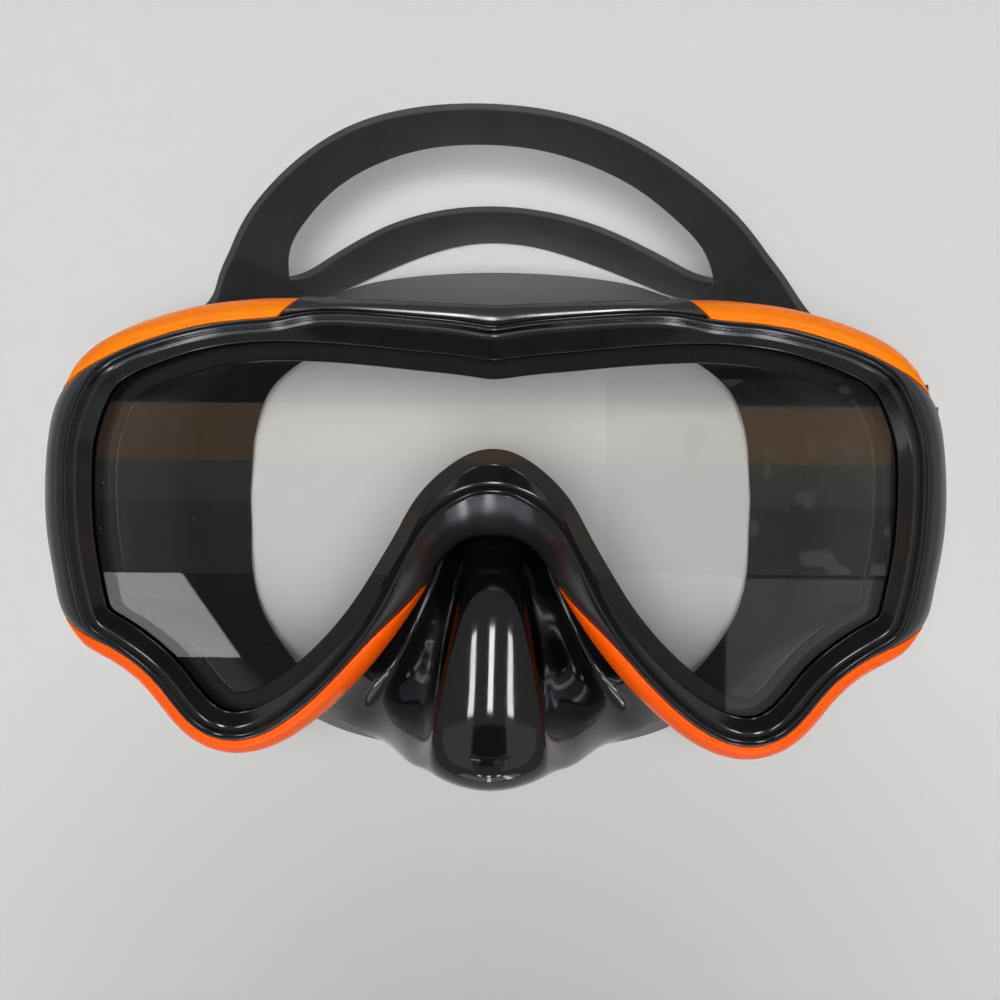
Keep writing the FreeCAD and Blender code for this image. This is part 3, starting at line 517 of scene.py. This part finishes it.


# The frosted flank's pale grey is partly painted sheen, standing in for the room light it reflects.
frame_black = moulded("frame_black_gloss", srgb(10, 10, 12), srgb(16, 16, 19), 0.09, 0.17, 2.5, 0.0012,
                      dust=0.3, matte_rough=0.36, matte_and_sheen_colour=srgb(54, 54, 57))
rear_satin = moulded("frame_black_satin", srgb(17, 17, 19), srgb(24, 24, 27), 0.24, 0.31, 0.5, 0.0011,
                     dust=0.35)
brow_satin = moulded("frame_black_brow", srgb(13, 13, 15), srgb(19, 19, 22), 0.15, 0.21, 0.5, 0.0009,
                     dust=0.3, Specular_IOR_Level=0.85)
PAINTED_ORANGE_GLOW = 0.2            # strength of a painted orange glow: the trims give back more orange light than falls on them


def orange(name, dark, light):
    # The emission is a painted glow that lifts the orange above the light falling on it.
    return moulded(name, dark, light, 0.26, 0.36, 0.4, 0.0006, Specular_IOR_Level=0.12,
                   Emission_Color=srgb(255, 90, 0) + (1.0,), Emission_Strength=PAINTED_ORANGE_GLOW)


# One orange plastic in two tones: the upper trims' yellower tone and the lower trims' redder one are painted
# light, standing in for how light and reflections fall on each.
trim_upper = orange("trim_orange_upper", srgb(255, 136, 0), srgb(255, 145, 0))
trim_lower = orange("trim_orange_lower", srgb(255, 90, 0), srgb(255, 98, 1))
# The frosted forehead side and upper lip get a pale grey that is partly painted sheen, standing in for the
# light on them.
skirt_black = moulded("skirt_silicone", srgb(7, 7, 8), srgb(12, 12, 13), 0.05, 0.09, 4.0, 0.0004,
                      dust=0.4, matte_rough=0.6, matte_and_sheen_colour=srgb(100, 100, 101), dull_rough=0.5)
strap_black = moulded("strap_silicone_matte", srgb(46, 46, 48), srgb(54, 54, 56), 0.5, 0.62, 0.4, 0.006,
                      dust=0.15, Sheen_Weight=0.1, Sheen_Roughness=0.5)
buckle_black = moulded("buckle_plastic_satin", srgb(18, 18, 20), srgb(26, 26, 28), 0.28, 0.42, 0.3, 0.004,
                       dust=0.2)
steel = moulded("pin_steel", srgb(150, 150, 152), srgb(185, 185, 188), 0.22, 0.36, 0.3, 0.001,
                Metallic=1.0)


GLASS_IOR = 1.5


def clear_glass():
    """Flat glass: it lets light straight through, reflects more at a slant, and carries a little dust."""
    n = Nodes("lens_glass")
    clear = n.node("BsdfTransparent")
    clear.inputs["Color"].default_value = (0.99, 0.995, 0.993, 1.0)
    gloss = n.node("BsdfGlossy")
    gloss.inputs["Color"].default_value = (1.0, 1.0, 1.0, 1.0)
    n.link(n.remap(n.noise(40.0, 2.0), 0.4, 0.7, 0.0, 0.02), gloss.inputs["Roughness"])
    fresnel = n.node("Fresnel")
    fresnel.inputs["IOR"].default_value = GLASS_IOR
    mixed = n.node("MixShader")
    n.link(fresnel.outputs[0], mixed.inputs[0])
    n.link(clear.outputs[0], mixed.inputs[1])
    n.link(gloss.outputs[0], mixed.inputs[2])
    haze = n.node("BsdfDiffuse")
    haze.inputs["Color"].default_value = srgb(190, 190, 188) + (1.0,)
    specks = n.remap(n.noise(2100.0, 1.0), 0.8, 0.83, 0.0, 0.5)
    top = n.node("MixShader")
    n.link(specks, top.inputs[0])
    n.link(mixed.outputs[0], top.inputs[1])
    n.link(haze.outputs[0], top.inputs[2])
    return n.finish(top.outputs[0])


glass = clear_glass()


# ---- frame pieces --------------------------------------------------------------------------------
BEZEL_STEPS = 4           # pieces of each rounded corner
BEZEL_PER_GAP = 10        # sections between two stations
REAR_STEPS = 3
REAR_PER_GAP = 8
TRIM_STEPS = 5
NOSE_POLISH = 0.72        # how much of the frosting and its partly painted pale sheen is polished away round the nose


def bezel():
    """The front ring's points, and how frosted each of them is: its outer flank is frosted, with a pale tone
    that is partly painted sheen.
    """
    sections = []
    for i in range(COUNT):
        glass_at, ridge = GLASS[i], RIDGE[i]
        outer = TRIM[i] + FIT if TRIM[i] else 0.0
        shoulder = NOSE_SHOULDER if is_nose(i) else edge_height(TRIM[i])
        flank = NOSE_FLANK if is_nose(i) else FLANK
        pocket = rim_offset(i) - FIT
        profile = [
            (outer, FRAME_SPLIT),
            (outer, shoulder),
            (outer + flank[0] * (ridge - outer), shoulder + flank[1] * (BEZEL_RIDGE - shoulder)),
            (ridge - 0.1, BEZEL_RIDGE - 0.02),
            (ridge + LAND, BEZEL_RIDGE - 0.15),
            (ridge + RIDGE_SLOPE, BEZEL_RIDGE - RIDGE_FALL),
            (glass_at, BEZEL_LIP),
            (glass_at - 0.1, LENS_FRONT + RIM_LIP + FIT),
            (pocket, LENS_FRONT + RIM_LIP + FIT),
            (pocket, FRAME_SPLIT),
        ]
        sections.append([at(i, offset, height) for offset, height in profile])
    radii = [0.2, 1.4, SMOOTH, 0.35, 0.4, 0.8, 0.25, CRISP, CRISP, CRISP]
    grid = closed_skin(sections, radii, BEZEL_PER_GAP, BEZEL_STEPS)
    frosted = np.repeat([1.0, 1.0, 0.9, 0.0, 0.0, 0.0, 0.0, 0.0, 0.0, 0.0], BEZEL_STEPS + 1)
    nose = Spline(np.array([float(is_nose(i)) for i in range(COUNT)])[:, None], KNOTS, True)
    nose_share = np.clip(nose.at(stations(COUNT, BEZEL_PER_GAP, True)), 0.0, 1.0)
    return grid, frosted * (1.0 - NOSE_POLISH * nose_share)


def rear():
    """The ring behind the skirt's rim."""
    sections = []
    for i in range(COUNT):
        glass_at, step = GLASS[i], rim_offset(i)
        profile = [
            (0.3, FRAME_BACK + 0.5),
            (0.0, FRAME_BACK + 1.5),
            (0.0, FRAME_SPLIT - FIT),
            (step, FRAME_SPLIT - FIT),
            (step, RIM_SEAT - FIT),
            (glass_at - 0.3, RIM_SEAT - FIT),
            (glass_at - 0.3, FRAME_BACK),
            (1.2, FRAME_BACK),
        ]
        sections.append([at(i, offset, height) for offset, height in profile])
    radii = [SMOOTH, 0.6, 0.25, CRISP, CRISP, CRISP, 0.3, 0.4]
    return closed_skin(sections, radii, REAR_PER_GAP, REAR_STEPS)


def trim_grid(outer_range, inner_range, steps, profile, radii, mirrored=False):
    """A length of trim between two stations of its outer edge and two of its inner edge. The profile gives
    the share of its width and the height; it gets lower where the trim is narrow."""
    outer_line = Spline(RIM, KNOTS, True)
    inner_line = Spline(np.array([at(i, TRIM[i], 0.0) for i in range(COUNT)]), KNOTS, True)
    share = np.linspace(0.0, 1.0, steps + 1)
    outer = outer_line.at((outer_range[0] + (outer_range[1] - outer_range[0]) * share) % COUNT)
    inner = inner_line.at((inner_range[0] + (inner_range[1] - inner_range[0]) * share) % COUNT)
    width = np.linalg.norm(inner - outer, axis=1, keepdims=True)
    lowered = (edge_height(width) - FRAME_SPLIT) / (TRIM_TOP - FRAME_SPLIT)
    columns = [outer + (inner - outer) * part + UP * (FRAME_SPLIT + (height - FRAME_SPLIT) * lowered)
               for part, height in profile]
    grid = rounded(np.stack(columns, axis=1), radii, TRIM_STEPS)
    if mirrored:
        grid = grid * MIRROR
    return grid


TRIM_PROFILE = [(0.0, FRAME_SPLIT), (0.0, 54.5), (0.1, 57.4), (0.4, 59.7), (0.75, 60.65), (1.0, TRIM_TOP),
                (1.0, FRAME_SPLIT)]
TRIM_RADII = [0.2, SMOOTH, SMOOTH, SMOOTH, SMOOTH, 0.15, 0.05]
BROW_PROFILE = [(0.0, FRAME_SPLIT), (0.0, 55.5), (0.0, 58.6), (0.3, 59.9), (0.68, 60.9),
                (1.0, 61.2), (1.0, FRAME_SPLIT)]
BROW_RADII = [0.2, SMOOTH, 1.2, SMOOTH, SMOOTH, 0.7, 0.05]
NO_CAPS = (False, False)
BOTH_CAPS = (True, True)
# The brow cover, then the trims on one side: stations of the outer edge, of the inner edge, and steps.
BROW = ((-4.15, 4.15), (-4.95, 4.95), 160)
TRIMS = (("upper", trim_upper, (4.25, 11.85), (5.05, 11.8), 90),
         ("lower", trim_lower, (17.15, 28.1), (17.2, 28.0), 140))

bezel_grid, bezel_matte = bezel()
mesh_object("front_bezel_moulding", [(bezel_grid, True, NO_CAPS)], frame_black, "mask", ["front_bezel"],
            SHARP_GLOSSY, {"matte": bezel_matte})
mesh_object("rear_frame_moulding", [(rear(), True, NO_CAPS)], rear_satin, "mask", ["rear_frame"], SHARP_SOFT)
mesh_object("brow_cover_moulding", [(trim_grid(*BROW, BROW_PROFILE, BROW_RADII), False, BOTH_CAPS)],
            brow_satin, "mask", ["brow_cover"], SHARP_SOFT)
for side, flip in (("right", False), ("left", True)):
    for name, colour, outer_range, inner_range, steps in TRIMS:
        grid = trim_grid(outer_range, inner_range, steps, TRIM_PROFILE, TRIM_RADII, flip)
        mesh_object("trim_" + name + "_" + side + "_moulding", [(grid, False, BOTH_CAPS)],
                    colour, "mask", ["trim_" + name + "_" + side])


# ---- skirt ---------------------------------------------------------------------------------------
FIRST_COLUMN = HALF - len(NOSE_COLUMNS)     # first station of the nose pocket
FLANGE_POINTS = 4         # corners of the face flange's section
SKIRT_PER_GAP = 6
SKIRT_STEPS = 4


def skirt_column(station):
    """The outer surface at a station, from the glass down to the face."""
    glass_at = GLASS[station]
    top = np.array(at(station, glass_at - FIT, RIM_SEAT))
    under = np.array(at(station, glass_at, FRAME_BACK - 1.0))
    edge = np.array(FACE_EDGE[station])
    if station >= FIRST_COLUMN:
        middle = [np.array(point) for point in NOSE_COLUMNS[station - FIRST_COLUMN]]
        return [top, under] + middle + [edge]
    column = [top]
    for row in range(WALL_ROWS + 1):
        share = row / WALL_ROWS
        sideways = share ** WALL_FLARE[station]
        point = under + (edge - under) * sideways
        column.append(np.array([point[0], point[1], under[2] + (edge[2] - under[2]) * share]))
    return column


def unit(vector):
    return vector / np.linalg.norm(vector)


def skirt_sections():
    """Section by section: outer wall, face flange, inner wall and the bead that holds the glass."""
    half = [np.array(skirt_column(i)) for i in range(HALF)]
    grid = half + [column * MIRROR for column in half[-2:0:-1]]
    widths = whole_loop(FLANGE_WIDTH)
    sections = []
    for i, column in enumerate(grid):
        before, after = grid[i - 1], grid[(i + 1) % COUNT]
        nose_side = min(i, COUNT - i) > FIRST_COLUMN
        inner = []
        for row in range(1, len(column) - 1):
            normal = unit(np.cross(column[row + 1] - column[row - 1], after[row] - before[row]))
            start = WALL_NOSE if nose_side else WALL
            thickness = start + (WALL_EDGE - start) * row / (WALL_ROWS + 1)
            inner.append(column[row] + normal * thickness)
        edge = column[-1]
        along = after[-1] - before[-1]
        inwards = unit(np.array([along[1], -along[0], 0.0]))
        glass_at = GLASS[i]
        lens_edge = glass_at - LENS_UNDER_LIP - FIT
        flange = [
            edge + inwards * widths[i] * 0.5,
            edge + inwards * widths[i] + UP * 1.8,
            edge + inwards * (widths[i] - 0.1) + UP * 2.5,
            edge + inwards * widths[i] * 0.5 + UP * 1.6,
        ]
        rim = [at(i, glass_at + WALL, RIM_SEAT - 1.2), at(i, glass_at + BEAD, RIM_SEAT + 0.2),
               at(i, glass_at + BEAD, LENS_BACK - FIT), at(i, lens_edge, LENS_BACK - FIT),
               at(i, lens_edge, LENS_FRONT + FIT), at(i, glass_at - 0.5, LENS_FRONT + FIT),
               at(i, glass_at - 0.5, LENS_FRONT + RIM_LIP), at(i, rim_offset(i), LENS_FRONT + RIM_LIP),
               at(i, rim_offset(i), RIM_SEAT)]
        sections.append([list(point) for point in list(column) + flange + inner[::-1] + rim])
    return sections


def skirt():
    """The skirt; its inside wall is duller than its outside."""
    wall_points = WALL_ROWS + 2
    radii = ([CRISP] + [SMOOTH] * (wall_points - 2) + [0.7] + [SMOOTH, 0.4, 0.4, SMOOTH]
             + [SMOOTH] * (wall_points - 2) + [0.6, 0.8, 0.6] + [CRISP] * 6)
    grid = closed_skin(skirt_sections(), radii, SKIRT_PER_GAP, SKIRT_STEPS)
    grid[:, :, 2] = np.maximum(grid[:, :, 2], 0.0)
    first_inner = wall_points + FLANGE_POINTS + 1
    dull = np.zeros(len(radii))
    dull[wall_points:first_inner + wall_points - 1] = 1.0
    marks = {"dull": np.broadcast_to(np.repeat(dull, SKIRT_STEPS + 1), grid.shape[:2])}
    return mesh_object("skirt_silicone_moulding", [(grid, True, NO_CAPS)], skirt_black, "mask", ["skirt"],
                       SHARP_SOFT, marks)


def add_matte(thing, level):
    """Stores how matte each point is, from its place in mm in the shared frame."""
    mesh = thing.data
    places = np.zeros(len(mesh.vertices) * 3)
    mesh.vertices.foreach_get("co", places)
    values = level(places.reshape(-1, 3) / MM)
    attribute = mesh.attributes.new("matte", "FLOAT", "POINT")
    attribute.data.foreach_set("value", values.astype(np.float32))


def ramp(values, start, length):
    """0 up to the start, and 1 from a length further on."""
    return np.clip((values - start) / length, 0.0, 1.0)


def skirt_matte(points):
    """The forehead side and the upper lip are frosted, with a pale tone that is partly painted sheen; the
    rest of the moulding is polished.
    """
    y, z = points[:, 1], points[:, 2]
    forehead = ramp(y, 16.5, 5.0) * ramp(-z, -46.0, 3.0)
    lip = ramp(SHIFT[1] - y, 44.0, 3.0) * ramp(-z, -17.5, 2.0)
    return np.clip(forehead + lip, 0.0, 1.0)


add_matte(skirt(), skirt_matte)


# ---- strap ---------------------------------------------------------------------------------------
EDGE_RADIUS = 0.35
RAISED_EDGE = 2.0         # width of the strap's raised edge
GROOVE = 0.28             # step from the raised edge down to the band
GROOVE_RUN = 0.3          # width of that step
STRAP_PER_GAP = 10
TAIL_PER_GAP = 8
STRAP_STEPS = 3
SLOT_END_ROWS = 5.0       # rows over which the slot's rounding fades in from its ends


def lean(points):
    """Points pushed sideways with the lying strap."""
    points = np.array(points, float)
    points[..., 0] += np.interp(points[..., 1], *STRAP_LEAN)
    return points


def directions(points):
    """Unit vectors along a line of points."""
    count = len(points)
    return np.array([unit(points[min(i + 1, count - 1)] - points[max(i - 1, 0)]) for i in range(count)])


def whole_line(half):
    """A whole edge of the strap from its right half."""
    return lean([(-x, y, z) for x, y, z in half[:0:-1]] + half)


def halves(top, bottom, tangent):
    """Half of the strap's thickness, square to the band between two edges."""
    outwards = np.cross(tangent, bottom - top)
    outwards /= np.linalg.norm(outwards, axis=1, keepdims=True)
    return outwards * (STRAP_THICKNESS / 2)


def band(top_half, bottom_half):
    """Four-cornered sections of a band between two edges."""
    top, bottom = whole_line(top_half), whole_line(bottom_half)
    half = halves(top, bottom, directions(top))
    return np.stack([top + half, bottom + half, bottom - half, top - half], axis=1)


def tail_rows():
    """Top, middle and bottom of the right tail, round the roller and back."""
    rows = list(STRAP_TAIL)
    run = list(TAIL_RUN)
    for step in range(5):
        angle = math.pi + step * math.pi / 4
        run.append((ROLLER_X + TURN_RADIUS * math.cos(angle), ROLLER_Y + TURN_RADIUS * math.sin(angle)))
    run += TAIL_RETURN
    for x, y in run:
        rows.append(((x, y, PIVOT_Z + TAIL_HALF_WIDTH), (x, y, PIVOT_Z), (x, y, PIVOT_Z - TAIL_HALF_WIDTH)))
    return rows


def tail(side, upper_end, lower_end):
    """Six-cornered sections of a tail, from where the strap's two bands meet."""
    rows = np.array([lean([(side * x, y, z) for x, y, z in row]) for row in tail_rows()])
    middle_end = (upper_end[1] + upper_end[2]) / 2
    tangent = directions(np.vstack([[middle_end], rows[:, 1]]))[1:]
    half = halves(rows[:, 0], rows[:, 2], tangent) * side
    sections = [[upper_end[0], upper_end[1], lower_end[1], lower_end[2], upper_end[2], upper_end[3]]]
    for row, out in zip(rows, half):
        sections.append([row[0] + out, row[1] + out, row[2] + out, row[2] - out, row[1] - out, row[0] - out])
    return np.array(sections)


def open_skin(sections, per_gap):
    """Sections that run smoothly from the first to the last."""
    knots = chords(sections[:, 0], False)
    return Spline(sections, knots, False).at(stations(len(sections), per_gap, False))


def with_step(grid, edge, neighbour, opposite):
    """Points that step down from the raised edge to the band's face, from an outer corner."""
    across = grid[:, neighbour] - grid[:, edge]
    width = np.linalg.norm(across, axis=1, keepdims=True)
    across = across / width
    inwards = grid[:, opposite] - grid[:, edge]
    inwards = inwards / np.linalg.norm(inwards, axis=1, keepdims=True)
    reach = np.minimum(RAISED_EDGE, 0.3 * width)
    raised = grid[:, edge] + across * reach
    lowered = grid[:, edge] + across * (reach + GROOVE_RUN) + inwards * GROOVE
    return raised, lowered


def strap():
    """Grids of the two bands and of the two tails."""
    upper_sections = band(STRAP_TOP, SLOT_TOP)
    lower_sections = band(SLOT_BOTTOM, STRAP_BOTTOM)
    for end in (0, -1):
        lower_sections[end][0] = upper_sections[end][1]
        lower_sections[end][3] = upper_sections[end][2]
    upper = open_skin(upper_sections, STRAP_PER_GAP)
    lower = open_skin(lower_sections, STRAP_PER_GAP)
    rows = np.arange(len(upper))
    slot_radius = EDGE_RADIUS * np.minimum(1.0, np.minimum(rows, rows[::-1]) / SLOT_END_ROWS)
    grids = []

    raised, lowered = with_step(upper, 0, 1, 3)
    loop = np.stack([upper[:, 0], raised, lowered, upper[:, 1], upper[:, 2], upper[:, 3]], axis=1)
    radii = [EDGE_RADIUS, CRISP, CRISP, slot_radius, slot_radius, EDGE_RADIUS]
    grids.append((rounded(loop, radii, STRAP_STEPS), False, NO_CAPS))

    raised, lowered = with_step(lower, 1, 0, 2)
    loop = np.stack([lower[:, 0], lowered, raised, lower[:, 1], lower[:, 2], lower[:, 3]], axis=1)
    radii = [slot_radius, CRISP, CRISP, EDGE_RADIUS, EDGE_RADIUS, slot_radius]
    grids.append((rounded(loop, radii, STRAP_STEPS), False, NO_CAPS))

    radii = [EDGE_RADIUS, CRISP, CRISP, 0.0, CRISP, CRISP, EDGE_RADIUS, EDGE_RADIUS, 0.0, EDGE_RADIUS]
    for side, end in ((1, -1), (-1, 0)):
        grid = open_skin(tail(side, upper_sections[end], lower_sections[end]), TAIL_PER_GAP)
        raised_top, lowered_top = with_step(grid, 0, 1, 5)
        raised_low, lowered_low = with_step(grid, 2, 1, 3)
        loop = np.stack([grid[:, 0], raised_top, lowered_top, grid[:, 1], lowered_low, raised_low,
                         grid[:, 2], grid[:, 3], grid[:, 4], grid[:, 5]], axis=1)
        grids.append((rounded(loop, radii, STRAP_STEPS), False, (False, True)))
    return grids


def strap_object():
    """Each grid's faces point outwards before the grids are joined."""
    fixed = []
    for grid, closed, caps in strap():
        faces = grid_faces(grid.shape[0], grid.shape[1], closed)
        if volume_of(grid.reshape(-1, 3) - grid.reshape(-1, 3).mean(axis=0), faces) < 0:
            grid = grid[:, ::-1]
        fixed.append((grid, closed, caps))
    return mesh_object("strap_silicone_moulding", fixed, strap_black, "strap", ["strap"], SHARP_SOFT)


strap_object()


# ---- lens, film and buckles ----------------------------------------------------------------------
EDGE_ANGLE = 40.0         # degrees; sharper edges of the CAD pieces are softened
FILM_CENTRE = (47.2, 4.9)
FILM_HALF = (26.2, 18.0)
FILM_CORNER = 0.8
FILM_CORNER_STEPS = 6
FILM_THICKNESS = 0.08
FILM_GAP = 0.01


def film():
    """Clear protective film stuck on the window, with a few pockets of air under it."""
    n = Nodes("film_clear")
    clear = n.node("BsdfTransparent")
    clear.inputs["Color"].default_value = (0.98, 0.985, 0.98, 1.0)
    gloss = n.node("BsdfGlossy")
    gloss.inputs["Color"].default_value = (1.0, 1.0, 1.0, 1.0)
    air = n.remap(n.noise(150.0, 1.5), 0.63, 0.65, 0.0, 1.0)
    n.link(n.remap(air, 0.0, 1.0, 0.05, 0.16), gloss.inputs["Roughness"])
    mixed = n.node("MixShader")
    n.link(n.remap(air, 0.0, 1.0, 0.03, 0.055), mixed.inputs[0])
    n.link(clear.outputs[0], mixed.inputs[1])
    n.link(gloss.outputs[0], mixed.inputs[2])
    material = n.finish(mixed.outputs[0])
    corners = []
    for x, y, turn in ((1, 1, 0), (-1, 1, 1), (-1, -1, 2), (1, -1, 3)):
        middle = (FILM_CENTRE[0] + x * (FILM_HALF[0] - FILM_CORNER),
                  FILM_CENTRE[1] + y * (FILM_HALF[1] - FILM_CORNER))
        for step in range(FILM_CORNER_STEPS + 1):
            angle = (turn + step / FILM_CORNER_STEPS) * math.pi / 2
            corners.append([middle[0] + FILM_CORNER * math.cos(angle),
                            middle[1] + FILM_CORNER * math.sin(angle)])
    low = LENS_FRONT + FILM_GAP
    loops = np.array([[[x, y, height] for x, y in corners] for height in (low, low + FILM_THICKNESS)])
    return mesh_object("lens_film", [(loops, False, BOTH_CAPS)], material, "mask", [])


film()


def dress(node, material, width):
    """Gives a CAD piece its material, and softens its edges by a width in mm."""
    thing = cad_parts[node]
    thing.data.materials.clear()
    thing.data.materials.append(material)
    if width:
        bevel = thing.modifiers.new("edges", "BEVEL")
        bevel.width = width * MM
        bevel.segments = 2
        bevel.limit_method = "ANGLE"
        bevel.angle_limit = math.radians(EDGE_ANGLE)


dress("lens", glass, 0.0)
for side in ("left", "right"):
    dress(side + "_buckle_lug", frame_black, 0.3)
    dress(side + "_pivot_pin", steel, 0.1)
    dress(side + "_buckle_body", buckle_black, 0.25)
    dress(side + "_roller", buckle_black, 0.0)
    dress(side + "_roller_axle", steel, 0.1)
    dress(side + "_release_lever", buckle_black, 0.2)
    dress(side + "_lever_pin", steel, 0.1)
    dress(side + "_lever_spring", steel, 0.0)
    dress(side + "_strap_keeper", strap_black, 0.25)


# ---- stage ---------------------------------------------------------------------------------------
FLOOR_HALF = 2.5
SHADE_MIDDLE = (0.0, -0.17, 0.0)


def floor():
    """A pale floor, a little darker in the soft shade of the person who looks down on it."""
    n = Nodes("floor_paint")
    tone = n.remap(n.noise(2.5, 2.0), 0.3, 0.7, 0.0, 1.0)
    colour = n.mix(tone, srgb(232, 231, 229), srgb(235, 234, 232))
    away = n.node("VectorMath", operation="DISTANCE")
    n.link(n.place, away.inputs[0])
    away.inputs[1].default_value = SHADE_MIDDLE
    shade = n.remap(away.outputs["Value"], 0.02, 0.16, 0.75, 0.0)
    colour = n.mix(shade, colour, srgb(172, 171, 170))
    roughness = n.remap(n.noise(300.0, 2.0), 0.3, 0.7, 0.55, 0.65)
    shader = n.principled(colour, roughness)
    mesh = bpy.data.meshes.new("floor")
    corners = [(-FLOOR_HALF, -FLOOR_HALF, 0), (FLOOR_HALF, -FLOOR_HALF, 0), (FLOOR_HALF, FLOOR_HALF, 0),
               (-FLOOR_HALF, FLOOR_HALF, 0)]
    mesh.from_pydata(corners, [], [(0, 1, 2, 3)])
    mesh.materials.append(n.finish(shader))
    thing = bpy.data.objects.new("floor", mesh)
    bpy.context.collection.objects.link(thing)


floor()


def tube(name, x, y, height, width, length, watts):
    """A flat lamp that shines down."""
    data = bpy.data.lights.new(name, "AREA")
    data.shape = "RECTANGLE"
    data.size = width
    data.size_y = length
    data.energy = watts
    thing = bpy.data.objects.new(name, data)
    thing.location = (x, y, height)
    bpy.context.collection.objects.link(thing)
    thing.visible_camera = False
    return thing


def glow(name, corners, colour):
    """A bright patch of the room, seen only in glossy surfaces."""
    n = Nodes(name)
    light = n.node("Emission")
    cloud = n.remap(n.noise(3.0, 2.0), 0.3, 0.7, 0.0, 1.0)
    n.link(n.mix(cloud, tuple(0.85 * c for c in colour), colour), light.inputs["Color"])
    mesh = bpy.data.meshes.new(name)
    mesh.from_pydata(corners, [], [(3, 2, 1, 0)])
    mesh.materials.append(n.finish(light.outputs[0]))
    thing = bpy.data.objects.new(name, mesh)
    bpy.context.collection.objects.link(thing)
    thing.visible_camera = False
    thing.visible_diffuse = False
    thing.visible_shadow = False


def ceiling_patch(name, low, high, height, colour, slant=0.0):
    """A patch between two corners (x, y); the slant moves one corner outwards."""
    glow(name, [(low[0], low[1], height), (high[0] + slant, low[1], height), (high[0], high[1], height),
                (low[0], high[1], height)], colour)


CEILING = 2.2             # metres, like all of the room
ROOM = 4.0                # half the room's width
WINDOW_Y = -3.6
WINDOW_LOW = 0.2
WINDOW_HIGH = 1.7
WALL_TONE = (0.42, 0.42, 0.42)
ceiling_patch("room_ceiling", (-ROOM, -ROOM), (ROOM, ROOM), CEILING + 0.2, (0.46, 0.46, 0.45))
for name, (x0, y0), (x1, y1) in (("room_wall_a", (-ROOM, ROOM), (ROOM, ROOM)),
                                 ("room_wall_b", (ROOM, -ROOM), (-ROOM, -ROOM)),
                                 ("room_wall_c", (ROOM, ROOM), (ROOM, -ROOM)),
                                 ("room_wall_d", (-ROOM, -ROOM), (-ROOM, ROOM))):
    glow(name, [(x0, y0, 0.1), (x1, y1, 0.1), (x1, y1, CEILING + 0.3), (x0, y0, CEILING + 0.3)],
         WALL_TONE)
for name, x, half_width, colour in (("room_window", 0.0, 2.4, (1.5, 1.6, 1.85)),
                                    ("window_gap_middle", 0.0, 0.14, (9.0, 9.2, 10.0)),
                                    ("window_gap_right", 1.5, 0.2, (9.0, 9.2, 10.0))):
    y = WINDOW_Y if half_width > 1 else WINDOW_Y + 0.05
    glow(name, [(x + half_width, y, WINDOW_LOW), (x - half_width, y, WINDOW_LOW),
                (x - half_width, y, WINDOW_HIGH), (x + half_width, y, WINDOW_HIGH)], colour)
FRONT_DIMMED = 0.72       # share of a tube's light on the forehead side

ceiling_patch("room_bright_left", (-3.2, -2.0), (-1.15, 2.0), CEILING + 0.1, (0.85, 0.86, 0.88))
ceiling_patch("room_bright_right", (1.0, -2.0), (3.2, 2.0), CEILING + 0.1, (0.85, 0.86, 0.88))
ceiling_patch("room_cornice", (-0.8, 0.145), (0.8, 0.36), CEILING - 0.01, (0.09, 0.08, 0.075))
ceiling_patch("room_gallery", (-1.0, 0.36), (1.0, 1.7), CEILING - 0.01, (0.12, 0.12, 0.12))
ceiling_patch("room_beam", (-1.2, 0.05), (1.2, 0.14), CEILING, (0.6, 0.4, 0.26))
ceiling_patch("room_joist", (-1.2, -0.02), (1.2, 0.05), CEILING, (0.3, 0.3, 0.3))
ceiling_patch("room_shade", (-1.2, -0.14), (1.2, -0.02), CEILING, (0.22, 0.22, 0.22))
ceiling_patch("room_panel_left", (-1.1, -0.28), (-0.58, -0.14), CEILING, (3.1, 3.15, 3.1), slant=0.1)
ceiling_patch("room_panel_right", (0.33, -0.5), (0.8, -0.14), CEILING, (0.6, 0.6, 0.6))
ceiling_patch("room_dark", (-0.62, -0.9), (0.33, -0.14), CEILING + 0.02, (0.12, 0.12, 0.12))

for name, x, watts in (("tube_middle", 0.0, 40.0), ("tube_left", -1.3, 34.0), ("tube_right", 1.3, 34.0)):
    tube(name, x, 2.65, CEILING, 0.35, 1.3, FRONT_DIMMED * watts).visible_diffuse = False
    tube(name + "_behind", 0.8 * x, -4.4, CEILING, 0.35, 2.2, watts).visible_diffuse = False
tube("ceiling_light", 0.0, -0.1, 2.0, 1.0, 0.8, 31.0).visible_glossy = False


world = bpy.data.worlds.new("room")
world.use_nodes = True
background = world.node_tree.nodes["Background"]
background.inputs["Color"].default_value = (0.98, 0.99, 1.0, 1.0)
background.inputs["Strength"].default_value = 0.07
bpy.context.scene.world = world
bpy.context.scene.view_settings.view_transform = "Standard"

camera_data = bpy.data.cameras.new("camera")
camera_data.sensor_width = 36.0
camera_data.lens = 52.3
camera = bpy.data.objects.new("camera", camera_data)
bpy.context.collection.objects.link(camera)
camera.location = (0.0078, SHIFT[1] * MM + 0.0003, 0.3273)
camera.rotation_euler = (0.0, math.radians(1.35), math.radians(0.5))
bpy.context.scene.camera = camera
